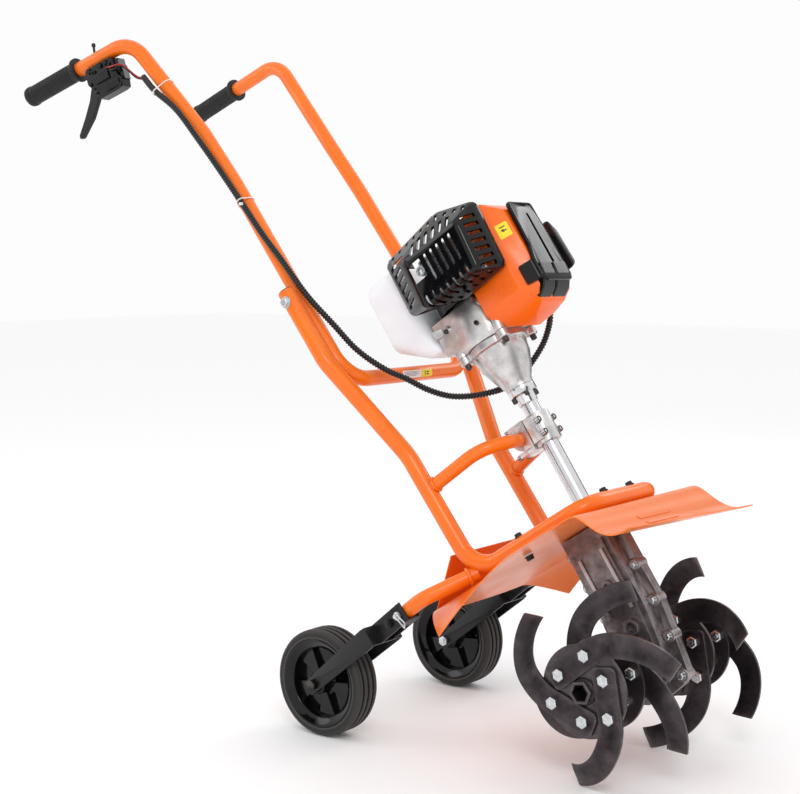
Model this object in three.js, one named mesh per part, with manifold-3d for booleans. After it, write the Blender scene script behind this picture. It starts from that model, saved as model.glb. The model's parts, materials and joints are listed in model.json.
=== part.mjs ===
// Walk-behind mini tiller with a small two-stroke engine. Millimetres, X forward, Y to the left, Z up.
import * as THREE from "three";
import { mergeVertices } from "three/addons/utils/BufferGeometryUtils.js";
import { ConvexGeometry } from "three/addons/geometries/ConvexGeometry.js";
import Module from "manifold-3d";

const wasm = await Module();
wasm.setup();

// Overall sizes
const wheelRadius = 87.5;
const wheelWidth = 50;
const wheelTrack = 364;
const rimRadius = 73;
const wheelSides = 22;
const legSpacing = 330;
const gripSpread = 428;
const gripHeight = 1074;
const frameTube = 28;
const handleTube = 26;
const archTube = 22;
const armTube = 24;
const shaftTube = 28;
const shaftAngle = 56;
const fit = 0.3;
const meshTolerance = 0.05;

// Tine rotor
const axleDistance = 371;
const centreDistance = 49;
const discRadius = 70;
const discThickness = 6;
const innerDiscY = 112;
const outerDiscY = 165;
const bladeWidth = 39;
const bladeThickness = 5;
const bladeArc = 89.6;
const tineBolt = 10;
const hexAxle = 22;

// Fender
const fenderHalfWidth = 190;
const sheet = 2;
const plateTop = 147.4;

// Wheel brackets
const bracketAngle = 40;
const pivotDistance = 185;
const pinDistance = 208;
const bracketSheet = 3;

const rad = THREE.MathUtils.degToRad;
const group = new THREE.Group();
group.name = "tiller";

// Frame of the drive shaft: x runs down the shaft, y to the left, z away from the ground and forward
const shaftDown = new THREE.Vector3(Math.cos(rad(shaftAngle)), 0, -Math.sin(rad(shaftAngle)));
const shaftUp = new THREE.Vector3(Math.sin(rad(shaftAngle)), 0, Math.cos(rad(shaftAngle)));
const leftward = new THREE.Vector3(0, 1, 0);
const shaftOrigin = new THREE.Vector3(311, 0, 486);
const shaftFrame = new THREE.Matrix4().makeBasis(shaftDown, leftward, shaftUp).setPosition(shaftOrigin);
const fromShaft = (s, y, b) => new THREE.Vector3(s, y, b).applyMatrix4(shaftFrame);

// Solids
function solid(geometry) {
  const bare = geometry.clone();
  bare.deleteAttribute("normal");
  bare.deleteAttribute("uv");
  const welded = mergeVertices(bare, 1e-4);
  return new wasm.Manifold(new wasm.Mesh({
    numProp: 3,
    vertProperties: new Float32Array(welded.attributes.position.array),
    triVerts: new Uint32Array(welded.index.array),
  }));
}

function join(...parts) {
  return parts.reduce((sum, part) => sum.add(part));
}

function cut(body, ...tools) {
  return tools.reduce((rest, tool) => rest.subtract(tool), body);
}

function placed(part, matrix) {
  return part.transform(matrix.elements);
}

function box(x0, x1, y0, y1, z0, z1) {
  const shape = new THREE.BoxGeometry(x1 - x0, y1 - y0, z1 - z0);
  shape.translate((x0 + x1) / 2, (y0 + y1) / 2, (z0 + z1) / 2);
  return solid(shape);
}

// Round bar between two points; six sides and a widened radius give a hexagon
function bar(from, to, radius, sides = 16, endRadius = radius) {
  const start = new THREE.Vector3(...from);
  const end = new THREE.Vector3(...to);
  const run = end.clone().sub(start);
  const shape = new THREE.CylinderGeometry(endRadius, radius, run.length(), sides);
  shape.translate(0, run.length() / 2, 0);
  const turn = new THREE.Quaternion().setFromUnitVectors(new THREE.Vector3(0, 1, 0), run.clone().normalize());
  shape.applyQuaternion(turn);
  shape.translate(start.x, start.y, start.z);
  return solid(shape);
}

function hex(from, to, acrossFlats) {
  return bar(from, to, acrossFlats / 2 / Math.cos(Math.PI / 6), 6);
}

function outline(points) {
  return new THREE.Shape(points.map(([u, v]) => new THREE.Vector2(u, v)));
}

function prismZ(points, z0, z1) {
  const shape = new THREE.ExtrudeGeometry(outline(points), { depth: z1 - z0, bevelEnabled: false });
  shape.translate(0, 0, z0);
  return solid(shape);
}

function prismY(points, y0, y1) {
  const shape = new THREE.ExtrudeGeometry(outline(points), { depth: y1 - y0, bevelEnabled: false });
  shape.rotateX(Math.PI / 2);
  shape.translate(0, y1, 0);
  return solid(shape);
}

function prismX(points, x0, x1) {
  const shape = new THREE.ExtrudeGeometry(outline(points), { depth: x1 - x0, bevelEnabled: false });
  shape.applyMatrix4(new THREE.Matrix4().makeBasis(
    new THREE.Vector3(0, 1, 0), new THREE.Vector3(0, 0, 1), new THREE.Vector3(1, 0, 0)));
  shape.translate(x0, 0, 0);
  return solid(shape);
}

function hull(points) {
  return solid(new ConvexGeometry(points.map((p) => new THREE.Vector3(...p))));
}

// Body turned about a line along Y (wheels) or along X (engine parts)
function turnedY(profile, sides = 36) {
  return solid(new THREE.LatheGeometry(profile.map(([r, y]) => new THREE.Vector2(r, y)), sides));
}

function turnedX(profile, sides = 32) {
  const shape = new THREE.LatheGeometry(profile.map(([r, x]) => new THREE.Vector2(r, x)), sides);
  shape.applyMatrix4(new THREE.Matrix4().makeBasis(
    new THREE.Vector3(0, 0, 1), new THREE.Vector3(1, 0, 0), new THREE.Vector3(0, 1, 0)));
  return solid(shape);
}

// Path of straight runs joined by arcs, sampled only where it bends
class BentPath extends THREE.Curve {
  constructor(points, radius, steps = 5) {
    super();
    const corners = points.map((p) => (p.isVector3 ? p : new THREE.Vector3(...p)));
    this.stations = [corners[0]];
    for (let i = 1; i < corners.length - 1; i += 1) {
      const back = corners[i - 1].clone().sub(corners[i]);
      const ahead = corners[i + 1].clone().sub(corners[i]);
      const reach = Math.min(back.length(), ahead.length()) * 0.49;
      const half = back.angleTo(ahead) / 2;
      const r = Array.isArray(radius) ? radius[i - 1] : radius;
      const trim = Math.min(r / Math.tan(half), reach);
      const bend = trim * Math.tan(half);
      back.normalize();
      ahead.normalize();
      const inward = back.clone().add(ahead).normalize();
      const centre = corners[i].clone().addScaledVector(inward, bend / Math.sin(half));
      const first = corners[i].clone().addScaledVector(back, trim).sub(centre);
      const sweep = Math.PI - 2 * half;
      const spin = new THREE.Vector3().crossVectors(first, corners[i].clone().sub(centre)).normalize();
      for (let k = 0; k <= steps; k += 1) {
        this.stations.push(first.clone().applyAxisAngle(spin, (sweep * k) / steps).add(centre));
      }
    }
    this.stations.push(corners[corners.length - 1]);
  }

  getPointAt(u) {
    const at = Math.min(u * (this.stations.length - 1), this.stations.length - 1);
    const low = Math.min(Math.floor(at + 1e-9), this.stations.length - 2);
    return this.stations[low].clone().lerp(this.stations[low + 1], at - low);
  }

  getTangentAt(u) {
    const at = Math.round(u * (this.stations.length - 1));
    const before = this.stations[Math.max(at - 1, 0)];
    const after = this.stations[Math.min(at + 1, this.stations.length - 1)];
    return after.clone().sub(before).normalize();
  }
}

function bentTube(points, diameter, radius, { steps = 5, sides = 12 } = {}) {
  const path = new BentPath(points, radius, steps);
  const circle = new THREE.Shape();
  for (let k = 0; k < sides; k += 1) {
    const turn = (2 * Math.PI * k) / sides;
    const x = (diameter / 2) * Math.cos(turn);
    const y = (diameter / 2) * Math.sin(turn);
    if (k === 0) circle.moveTo(x, y);
    else circle.lineTo(x, y);
  }
  circle.closePath();
  const rings = path.stations.length - 1;
  return solid(new THREE.ExtrudeGeometry(circle, { steps: rings, extrudePath: path, bevelEnabled: false }));
}

const mirrored = ([x, y, z]) => [x, -y, z];
const bothSides = (points) => [...points, ...points.slice().reverse().map(mirrored)];

// Finishes
const finish = {
  frame: { color: 0xf26522, roughness: 0.35, metalness: 0 },
  fender: { color: 0xe8622d, roughness: 0.4, metalness: 0 },
  cover: { color: 0xf4621f, roughness: 0.35, metalness: 0 },
  rubber: { color: 0x1c1b1c, roughness: 0.8, metalness: 0 },
  plastic: { color: 0x17171a, roughness: 0.4, metalness: 0 },
  black: { color: 0x222024, roughness: 0.5, metalness: 0.2 },
  alloy: { color: 0xb9b7b6, roughness: 0.45, metalness: 1 },
  bright: { color: 0xd8d8da, roughness: 0.25, metalness: 1 },
  zinc: { color: 0xc9ccce, roughness: 0.35, metalness: 1 },
  cast: { color: 0x4a4443, roughness: 0.55, metalness: 0.8 },
  steel: { color: 0x383133, roughness: 0.55, metalness: 0.8 },
  tank: { color: 0xf2eef0, roughness: 0.45, metalness: 0 },
  brass: { color: 0xb08d4a, roughness: 0.35, metalness: 1 },
};

function add(name, body, look, matrix) {
  const set = (matrix ? placed(body, matrix) : body).asOriginal().simplify(meshTolerance);
  const mesh = set.getMesh();
  const geometry = new THREE.BufferGeometry();
  const position = new Float32Array(mesh.numVert * 3);
  for (let v = 0; v < mesh.numVert; v += 1) {
    for (let k = 0; k < 3; k += 1) position[3 * v + k] = mesh.vertProperties[v * mesh.numProp + k];
  }
  geometry.setAttribute("position", new THREE.BufferAttribute(position, 3));
  geometry.setIndex(new THREE.BufferAttribute(new Uint32Array(mesh.triVerts), 1));
  geometry.computeVertexNormals();
  const item = new THREE.Mesh(geometry, new THREE.MeshStandardMaterial({ ...finish[look] }));
  item.name = name;
  group.add(item);
}

// ---- Handlebar: one tube, grip to grip, with its cross run at the bottom
const legY = legSpacing / 2;
const gripY = gripSpread / 2;
const handleCorner = [31, legY, 582];
const handlePath = [
  [-684, gripY, gripHeight],
  [-442, gripY - 24, gripHeight + 84],
  [-288, legY + 1, 990],
  [-215, legY, 903],
  handleCorner,
];
const handleAt = (height) => {
  const t = (height - handlePath[3][2]) / (handleCorner[2] - handlePath[3][2]);
  return handlePath[3][0] + t * (handleCorner[0] - handlePath[3][0]);
};
let handlebar = bentTube(bothSides(handlePath), handleTube, [62, 160, 400, 50, 50, 400, 160, 62], { steps: 4 });

// ---- Main frame: one bent loop, open at the top behind the handlebar legs
const frameTopY = legY + (handleTube + frameTube) / 2 + fit;
const boltHeight = 706;
const kneeHeight = 640 - frameTube; // the loop turns inward below the handlebar's corner
const tubeLine = plateTop - frameTube / 2 - fit;
const loop = [
  [handleAt(722), frameTopY, 722],
  [handleAt(kneeHeight), frameTopY, kneeHeight],
  [121, 122, 462],
  fromShaft(tubeLine, 118, -160).toArray(),
  fromShaft(tubeLine, 103, 66).toArray(),
];
const loopRadii = [60, 80, 52, 38, 38, 52, 80, 60];
let frame = bentTube(bothSides(loop), frameTube, loopRadii, { steps: 3 });

// Arch that carries the shaft clamp
const clampS = -26;
const crossB = -(shaftTube / 2 + 8 + archTube / 2);
const archRun = fromShaft(clampS, 0, crossB);
const arch = [
  [160, 119, 410],
  [archRun.x - 28, 100, archRun.z - 12],
  [archRun.x, 62, archRun.z],
];
frame = frame.add(bentTube(bothSides(arch), archTube, [60, 30, 30, 60], { steps: 3, sides: 10 }));

// Wheel arms from the bottom bends into the wheel brackets
const wheelY = wheelTrack / 2;
const along = (d, side, lift = 0) => [
  d * Math.cos(rad(bracketAngle)) - lift * Math.sin(rad(bracketAngle)),
  side * wheelY,
  wheelRadius + d * Math.sin(rad(bracketAngle)) + lift * Math.cos(rad(bracketAngle)),
];
for (const side of [-1, 1]) {
  const start = fromShaft(tubeLine - 1, side * 116, -158).toArray();
  const arm = bentTube([start, along(250, side), along(pivotDistance - armTube / 2, side)], armTube, 45,
    { steps: 3, sides: 10 });
  frame = frame.add(arm);
}

// Open tube ends and holes
for (const side of [-1, 1]) {
  const top = new THREE.Vector3(handleAt(722), side * frameTopY, 722);
  const down = new THREE.Vector3(handleAt(kneeHeight) - handleAt(722), 0, kneeHeight - 722).normalize();
  const start = top.clone().addScaledVector(down, -1);
  const end = top.clone().addScaledVector(down, 60);
  frame = cut(frame, bar(start.toArray(), end.toArray(), frameTube / 2 - 2, 12));
  const boltX = handleAt(boltHeight);
  frame = cut(frame, bar([boltX, side * (frameTopY - 20), boltHeight], [boltX, side * (frameTopY + 20), boltHeight], 4.6, 8));
  handlebar = cut(handlebar, bar([boltX, side * (legY - 20), boltHeight], [boltX, side * (legY + 20), boltHeight], 4.6, 8));
  const pivot = along(pivotDistance, side);
  frame = cut(frame, bar([pivot[0], side * (wheelY - 30), pivot[2]], [pivot[0], side * (wheelY + 30), pivot[2]], 4.7, 8));
  const pin = along(pinDistance, side);
  frame = cut(frame, bar([pin[0], side * (wheelY - 30), pin[2]], [pin[0], side * (wheelY + 30), pin[2]], 4.2, 8));
}

// Fender bolts: two through the front bar, two through the sloping legs, welded washers left out
const frontBoltB = 66;
const slopeBoltB = -62;
const slopeBoltY = 113;
const fenderBoltSpots = [[40, frontBoltB], [-40, frontBoltB], [slopeBoltY - 2, slopeBoltB], [-slopeBoltY + 2, slopeBoltB]];
let boltHoles = [];
let boltBodies = [];
for (const [y, b] of fenderBoltSpots) {
  const from = (s) => fromShaft(s, y, b).toArray();
  const topS = tubeLine - frameTube / 2;
  const bottomS = plateTop + 2 * sheet + 3 * fit;
  boltHoles.push(bar(from(topS - 10), from(bottomS + 20), 3.8, 8));
  boltBodies.push(join(
    bar(from(topS - 9), from(bottomS + 12), 3, 6),
    hex(from(topS - 6), from(topS + 3), 11),
    hex(from(bottomS + 0.4), from(bottomS + 6.4), 11),
  ));
}
// The bolts are captive in the frame tubes
for (const body of boltBodies) frame = frame.add(body);

add("main_frame", frame, "frame");
add("handlebar", handlebar, "frame");

for (const [side, label] of [[-1, "right"], [1, "left"]]) {
  const x = handleAt(boltHeight);
  const outer = side * (frameTopY + frameTube / 2);
  const inner = side * (legY - handleTube / 2);
  const at = (y) => [x, y, boltHeight];
  add(`handlebar_bolt_${label}`, join(
    bar(at(outer + side * 3), at(inner - side * 9), 4, 8),
    bar(at(outer + side * 0.3), at(outer + side * 2), 10, 14),
    hex(at(outer + side * 2), at(outer + side * 7.5), 13),
    hex(at(inner - side * 7.5), at(inner - side * 0.4), 13),
  ), "zinc");

  // Grip: sleeve over the last straight of the handlebar
  const tip = new THREE.Vector3(handlePath[0][0], side * gripY, handlePath[0][2]);
  const apex = new THREE.Vector3(handlePath[1][0], side * handlePath[1][1], handlePath[1][2]);
  const run = apex.clone().sub(tip).normalize();
  const spot = (d) => tip.clone().addScaledVector(run, d).toArray();
  const gripLength = 128;
  const bore = handleTube / 2 + fit;
  let grip = join(
    bar(spot(-4), spot(gripLength), 17, 18),
    bar(spot(gripLength - 6), spot(gripLength), 22, 18),
    bar(spot(-4), spot(8), 18.5, 18),
  );
  grip = cut(grip, bar(spot(-fit), spot(gripLength + 5), bore / Math.cos(Math.PI / 18), 18));
  add(`grip_${label}`, grip, "rubber");
}

// ---- Throttle housing, lever and stop switch on the right side of the handlebar
const right0 = new THREE.Vector3(handlePath[0][0], -gripY, handlePath[0][2]);
const right1 = new THREE.Vector3(handlePath[1][0], -handlePath[1][1], handlePath[1][2]);
const barRun = right1.clone().sub(right0).normalize();
const barUp = new THREE.Vector3(0, 0, 1).addScaledVector(barRun, -barRun.z).normalize();
const barSide = new THREE.Vector3().crossVectors(barUp, barRun);
const controlFrame = new THREE.Matrix4().makeBasis(barRun, barSide, barUp)
  .setPosition(right0.clone().addScaledVector(barRun, 162));
let housing = join(
  bar([-20, 0, 0], [26, 0, 0], handleTube / 2 + 6, 20),
  box(-22, 30, -15, 15, -42, -8),
  box(-6, 22, -19, 19, -36, -12),
  box(14, 36, -11, 11, -34, -14),
  bar([4, 0, 12], [4, 0, 30], 4, 12),
);
housing = cut(housing, bar([-40, 0, 0], [60, 0, 0], handleTube / 2 + fit, 20));
housing = cut(housing, box(-30, -4, -4.2, 4.2, -60, -19));
housing = cut(housing, bar([-13, -30, -30], [-13, 30, -30], 2.3, 12));
housing = cut(housing, box(3, 20, -20, -14, -30, -20));
add("throttle_housing", housing, "plastic", controlFrame);
const lever = join(
  prismY([[-19, -24], [-8, -24], [-6, -40], [-16, -72], [-31, -104], [-37, -105], [-33, -86], [-24, -58], [-21, -38]],
    -3.7, 3.7),
  bar([-13, -17, -30], [-13, 17, -30], 2, 12),
);
add("throttle_lever", lever, "plastic", controlFrame);
add("stop_switch", join(
  box(5, 10, -21, -14.3, -27, -23),
  box(4, 11, -16, -14.3, -28.5, -21.5),
), "plastic", controlFrame);

// ---- Shaft, clutch housing and engine, all set in the shaft frame
const flangeEnd = -99.7;
const tubeEnd = 186;
let shaft = bar([flangeEnd, 0, 0], [tubeEnd, 0, 0], shaftTube / 2, 24);
shaft = shaft.add(bar([flangeEnd, 0, 0], [flangeEnd + 12, 0, 0], 24, 24));
for (const turn of [45, 135, 225, 315]) {
  const y = 19 * Math.cos(rad(turn));
  const b = 19 * Math.sin(rad(turn));
  shaft = shaft.add(bar([flangeEnd + 11, y, b], [flangeEnd + 19, y, b], 4.5, 8));
}
shaft = cut(shaft, bar([flangeEnd - 1, 0, 0], [tubeEnd + 1, 0, 0], shaftTube / 2 - 2, 24));
add("shaft_tube", shaft, "bright", shaftFrame);

const housingTop = -186;
let clutch = turnedX([
  [0, housingTop], [52, housingTop], [52, housingTop + 12], [46, housingTop + 13], [43.5, -152], [24, -108],
  [23.5, -100], [0, -100],
], 24);
const ears = [[40, 43], [-40, 43], [-40, -43], [40, -43]];
for (const [y, b] of ears) {
  clutch = join(clutch,
    bar([housingTop, y, b], [housingTop + 14, y, b], 10, 12),
    bar([housingTop, y * 0.8, b * 0.8], [housingTop + 12, y * 0.8, b * 0.8], 12, 10),
    bar([housingTop + 13, y, b], [housingTop + 21, y, b], 5, 8));
}
for (const turn of [0, 90, 180, 270]) {
  const rib = hull([
    [housingTop + 10, -2, 40], [housingTop + 10, 2, 40], [housingTop + 10, -2, 48.5], [housingTop + 10, 2, 48.5],
    [-108, -2, 18], [-108, 2, 18], [-108, -2, 25.5], [-108, 2, 25.5],
  ]);
  clutch = clutch.add(placed(rib, new THREE.Matrix4().makeRotationX(rad(turn + 12))));
}
clutch = cut(clutch, turnedX([
  [0, housingTop - 1], [39.5, housingTop - 1], [39.5, -155], [14, -114], [9, -114], [9, -99], [0, -99],
], 24));
add("clutch_housing", clutch, "alloy", shaftFrame);

// Drive shaft: clutch drum at the top, worm at the bottom
const wormRings = [];
for (let k = -1; k <= 1; k += 1) {
  const x = axleDistance + 12 * k;
  wormRings.push([12.5, x - 4], [9.5, x - 1.5], [9.5, x + 1.5], [12.5, x + 4]);
}
const drive = turnedX([
  [0, -165], [34.5, -165], [34.5, -183], [37.5, -183], [37.5, -162], [4, -162], [4, axleDistance - 46],
  [7, axleDistance - 46], [7, axleDistance - 20], [12.5, axleDistance - 20], ...wormRings,
  [12.5, axleDistance + 20], [7, axleDistance + 20], [7, axleDistance + 30], [0, axleDistance + 30],
], 14);
add("drive_shaft", drive, "steel", shaftFrame);

// Engine block: crankcase with the fan housing in front, cylinder on top
const boreS = -224;
let crankcase = join(
  turnedX([[0, -262], [52, -262], [60, -240], [61, -200], [58, housingTop - fit], [0, housingTop - fit]], 24),
  box(-258, -190, -35, 35, 10, 50),
  prismY([[-258, -62], [-200, -62], [-192, -30], [-192, 30], [-258, 30]], -52, 52),
  hull([[-246, -40, -40], [-246, -66, -58], [-232, -66, -58], [-232, -40, -40], [-246, -46, -64], [-232, -46, -64]]),
);
for (const [y, b] of ears) {
  crankcase = crankcase.add(bar([housingTop - 22, y, b], [housingTop - fit, y, b], 10, 12));
}
crankcase = cut(crankcase, bar([-250, 0, 0], [housingTop + 1, 0, 0], 47, 24));
crankcase = cut(crankcase, bar([-270, 0, 0], [-240, 0, 0], 8.5, 16));

// Crankshaft with flywheel, clutch shoes in front and starter pawl plate behind
add("crankshaft", join(
  bar([-296, 0, 0], [-168, 0, 0], 7.5, 12),
  bar([-199, 0, 0], [-189, 0, 0], 44, 24),
  bar([-181, 0, 0], [-169, 0, 0], 32, 20),
  bar([-296, 0, 0], [-286, 0, 0], 22, 16),
), "steel", shaftFrame);

// Cylinder in one casting with the crankcase: cooling fins, ports and spark plug
let cylinder = bar([boreS, 0, 40], [boreS, 0, 124], 23, 16);
for (let k = 0; k < 5; k += 1) {
  const b = 68 + 11 * k;
  cylinder = cylinder.add(box(boreS - 32, boreS + 30, -33, 33, b, b + 4));
}
cylinder = join(cylinder,
  box(boreS - 20, boreS + 20, -45, -20, 72, 106),
  box(boreS - 18, boreS + 18, 20, 45, 72, 104),
  hex([boreS, 0, 120], [boreS, 0, 130], 16),
);
add("engine_block", crankcase.add(cylinder), "alloy", shaftFrame);

// Cover over the cylinder, open underneath
function coverShape(wall) {
  const w = wall;
  const side = prismY([
    [-190 - w, 44], [-168 - w, 84], [-184 - w, 128 - w / 2], [-214 - w / 2, 152 - w], [-342 + w / 2, 150 - w],
    [-368 + w, 126 - w / 2], [-368 + w, 64], [-300 + w, 44], [-300 + w, 43 - 30 * Math.sign(w)], [-190 - w, 43 - 30 * Math.sign(w)],
  ], -80, 80);
  const front = prismX([
    [-59 + w, -10], [-59 + w, 118], [-38 + w / 2, 152 - w], [40 - w / 2, 152 - w], [59 - w, 116], [59 - w, -10],
  ], -400, -100);
  const plan = prismZ([
    [-380, -59 + w], [-214, -59 + w], [-176 - w, -26 + w / 3], [-166 - w, 0], [-176 - w, 26 - w / 3], [-214, 59 - w],
    [-380, 59 - w],
  ], -60, 200);
  return side.intersect(front).intersect(plan);
}
let cover = cut(coverShape(0), coverShape(2.5), bar([-345, 0, 0], [-120, 0, 0], 62.8, 28));
cover = cut(cover, box(-250, -198, -70, -40, 68, 110), box(-252, -198, 40, 70, 62, 110));
for (const y of [-40, 40]) cover = cut(cover, bar([-214, y, 43], [-150, y, 43], 11.5, 12));
cover = cut(cover, hull([
  [-214, -14, 60], [-190, -14, 60], [-214, 14, 60], [-190, 14, 60], [-214, -9, 48], [-180, -9, 52], [-214, 9, 48], [-180, 9, 52],
].map(([s, y, b]) => [s, y, b - 14])));
cover = cut(cover, box(-330, -262, -70, -50, 20, 62));
add("cylinder_cover", cover, "cover", shaftFrame);

// Black plug cover let over the top of the cylinder cover
const insertTop = 152 + fit;
let insert = hull([
  [-340, -24, insertTop], [-340, 26, insertTop], [-212, -30, insertTop], [-212, 34, insertTop],
  [-334, -20, insertTop + 6], [-334, 22, insertTop + 6], [-216, -25, insertTop + 7], [-216, 28, insertTop + 7],
]);
insert = cut(insert, box(-320, -236, 4, 10, insertTop + 3, insertTop + 10));
add("plug_cover", insert, "plastic", shaftFrame);

// Muffler and its slotted guard on the right side
add("muffler", join(
  hull([
    [-338, -106, 4], [-278, -106, 4], [-338, -106, 92], [-278, -106, 92],
    [-344, -98, -2], [-272, -98, -2], [-344, -98, 98], [-272, -98, 98],
    [-344, -66, -2], [-272, -66, -2], [-344, -66, 98], [-272, -66, 98],
  ]),
  box(-280, -208, -74, -66, 78, 96),
  box(-244, -208, -70, -45.4, 78, 96),
  bar([-322, -100, 10], [-322, -110, 10], 8, 16),
), "zinc", shaftFrame);

const guardBase = [[-388, -72], [-286, -74], [-252, 36], [-256, 124], [-372, 130], [-400, 56]];
const guardFace = [[-352, -8], [-264, -14], [-262, 104], [-346, 110]];
function guardShape(inset) {
  const shrink = ([s, b], k) => [s + (-325 - s) * k, b + (35 - b) * k];
  const pts = [];
  for (const p of guardBase) {
    const [s, b] = shrink(p, inset / 70);
    pts.push([s, -63 + inset * 2, b], [s, -74, b]);
  }
  for (const p of guardFace) {
    const [s, b] = shrink(p, inset / 55);
    pts.push([s, -119 + inset, b]);
  }
  return hull(pts);
}
let guard = cut(guardShape(0), guardShape(2.6));
guard = cut(guard, box(-284, -200, -78, -40, 70, 104));
for (let k = 0; k < 7; k += 1) {
  const b = -2 + 16 * k;
  const from = k < 2 ? -302 : -344;
  guard = cut(guard, box(from, -272, -125, -105, b, b + 6));
}
guard = cut(guard, box(-336, -308, -125, -105, -4, 24));
for (let k = 0; k < 6; k += 1) {
  const b = -30 + 26 * k;
  guard = cut(guard, box(-420, -354, -104, -74, b, b + 12));
}
for (let k = 0; k < 6; k += 1) {
  const b = -22 + 24 * k;
  guard = cut(guard, box(-264, -230, -104, -78, b, b + 9));
}
for (let k = 0; k < 4; k += 1) {
  const s = -350 + 22 * k;
  guard = cut(guard, box(s, s + 10, -104, -78, 112, 160));
  guard = cut(guard, box(s, s + 10, -104, -78, -90, -20));
}
add("muffler_guard", guard, "plastic", shaftFrame);

// Fuel tank slung under the crankcase, with a filler neck at its upper end
const tankOutline = (w) => [
  [-384 + w, -66 - w], [-384 + w, -140 + w / 2], [-374 + w / 2, -150 + w], [-276 - w / 3, -150 + w], [-258 - w / 2, -142 + w / 2],
  [-212 - w, -84], [-214 - w, -66 - w],
];
const capY = 22;
const capB = -108;
let tank = prismY(tankOutline(0), -61.5, 61.5);
tank = tank.intersect(prismX([
  [-62, -60], [-62, -138], [-50, -151], [50, -151], [62, -138], [62, -60],
], -400, -200));
tank = tank.add(bar([-392, capY, capB], [-380, capY, capB], 17, 24));
tank = cut(tank, prismY(tankOutline(2.5), -58, 58).intersect(prismX([
  [-59, -60], [-59, -136], [-48, -148], [48, -148], [59, -136], [59, -60],
], -400, -200)));
tank = cut(tank, bar([-393, capY, capB], [-375, capY, capB], 14, 24));
add("fuel_tank", tank, "tank", shaftFrame);
let cap = join(bar([-404, capY, capB], [-392.3, capY, capB], 20, 16), bar([-393, capY, capB], [-384, capY, capB], 13.6, 20));
for (let k = 0; k < 8; k += 1) {
  const t = rad(45 * k);
  const y = capY + 21 * Math.cos(t);
  const b = capB + 21 * Math.sin(t);
  cap = cut(cap, bar([-405, y, b], [-396, y, b], 3, 8));
}
add("fuel_cap", cap, "plastic", shaftFrame);

// Recoil starter at the rear of the crank, with its pull handle
let starter = turnedX([
  [0, -326], [30, -326], [52, -318], [60, -304], [60, -262.3], [56, -262.3], [56, -302], [48, -314], [0, -314],
], 24);
for (let k = 0; k < 6; k += 1) {
  const t = rad(60 * k + 30);
  starter = cut(starter, hull([
    [-330, 30 * Math.cos(t - 0.12), 30 * Math.sin(t - 0.12)], [-330, 30 * Math.cos(t + 0.12), 30 * Math.sin(t + 0.12)],
    [-330, 46 * Math.cos(t - 0.12), 46 * Math.sin(t - 0.12)], [-330, 46 * Math.cos(t + 0.12), 46 * Math.sin(t + 0.12)],
    [-305, 30 * Math.cos(t - 0.12), 30 * Math.sin(t - 0.12)], [-305, 30 * Math.cos(t + 0.12), 30 * Math.sin(t + 0.12)],
    [-305, 46 * Math.cos(t - 0.12), 46 * Math.sin(t - 0.12)], [-305, 46 * Math.cos(t + 0.12), 46 * Math.sin(t + 0.12)],
  ]));
}
const ropeS = -306;
const ropeB = 22;
starter = starter.add(bar([ropeS, 48, ropeB], [ropeS, 64, ropeB], 8, 12));
starter = cut(starter, bar([ropeS, 30, ropeB], [ropeS, 70, ropeB], 3.2, 8));
add("recoil_starter", starter, "plastic", shaftFrame);
add("starter_handle", join(
  bar([ropeS, -34, ropeB], [ropeS, 70, ropeB], 2.2, 6),
  hull([
    [ropeS - 7, 64.4, ropeB - 22], [ropeS + 7, 64.4, ropeB - 22], [ropeS - 7, 64.4, ropeB + 22], [ropeS + 7, 64.4, ropeB + 22],
    [ropeS - 6, 78, ropeB - 26], [ropeS + 6, 78, ropeB - 26], [ropeS - 6, 78, ropeB + 26], [ropeS + 6, 78, ropeB + 26],
  ]),
), "plastic", shaftFrame);

// Carburettor and air filter on the left side
add("carburettor", join(
  box(-242, -206, 45.4, 66, 74, 102),
  bar([-224, 66, 88], [-224, 84, 88], 15, 20),
  box(-240, -208, 60, 84, 66, 80),
), "alloy", shaftFrame);
add("air_filter", hull([
  [-330, 84.4, 62], [-238, 84.4, 62], [-330, 84.4, 146], [-238, 84.4, 150],
  [-324, 116, 70], [-246, 116, 70], [-320, 116, 136], [-250, 116, 138],
]), "plastic", shaftFrame);

// ---- Shaft clamp in two halves, holding the arch bar
const clampHalf = 25;
function clampBody() {
  return join(
    bar([clampS - clampHalf, 0, 0], [clampS + clampHalf, 0, 0], shaftTube / 2 + 8, 20),
    box(clampS - 20, clampS + 20, -26, 26, crossB + 2, crossB + 20),
    bar([clampS, -20, crossB], [clampS, 20, crossB], archTube / 2 + 8, 18),
    box(clampS - 20, clampS + 20, -29, 29, -9, 9),
  );
}
const clampCut = [
  bar([clampS - 40, 0, 0], [clampS + 40, 0, 0], shaftTube / 2 + fit, 24),
  bar([clampS, -80, crossB], [clampS, 80, crossB], archTube / 2 + fit + 0.4, 14),
];
const clampBolts = [[clampS - 11, 22], [clampS + 11, 22], [clampS - 11, -22], [clampS + 11, -22]];
const clampSplit = 0;
let clampFront = cut(clampBody(), ...clampCut).intersect(box(-100, 60, -60, 60, clampSplit + fit / 2, 60));
let clampRear = cut(clampBody(), ...clampCut).intersect(box(-100, 60, -60, 60, -90, clampSplit - fit / 2));
for (const [s, y] of clampBolts) {
  clampFront = clampFront.add(bar([s, y, -8], [s, y, 16], 3, 8)).add(bar([s, y, 9], [s, y, 17], 5.5, 8));
  clampRear = cut(clampRear, bar([s, y, -30], [s, y, 2], 3.4, 8));
}
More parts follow.
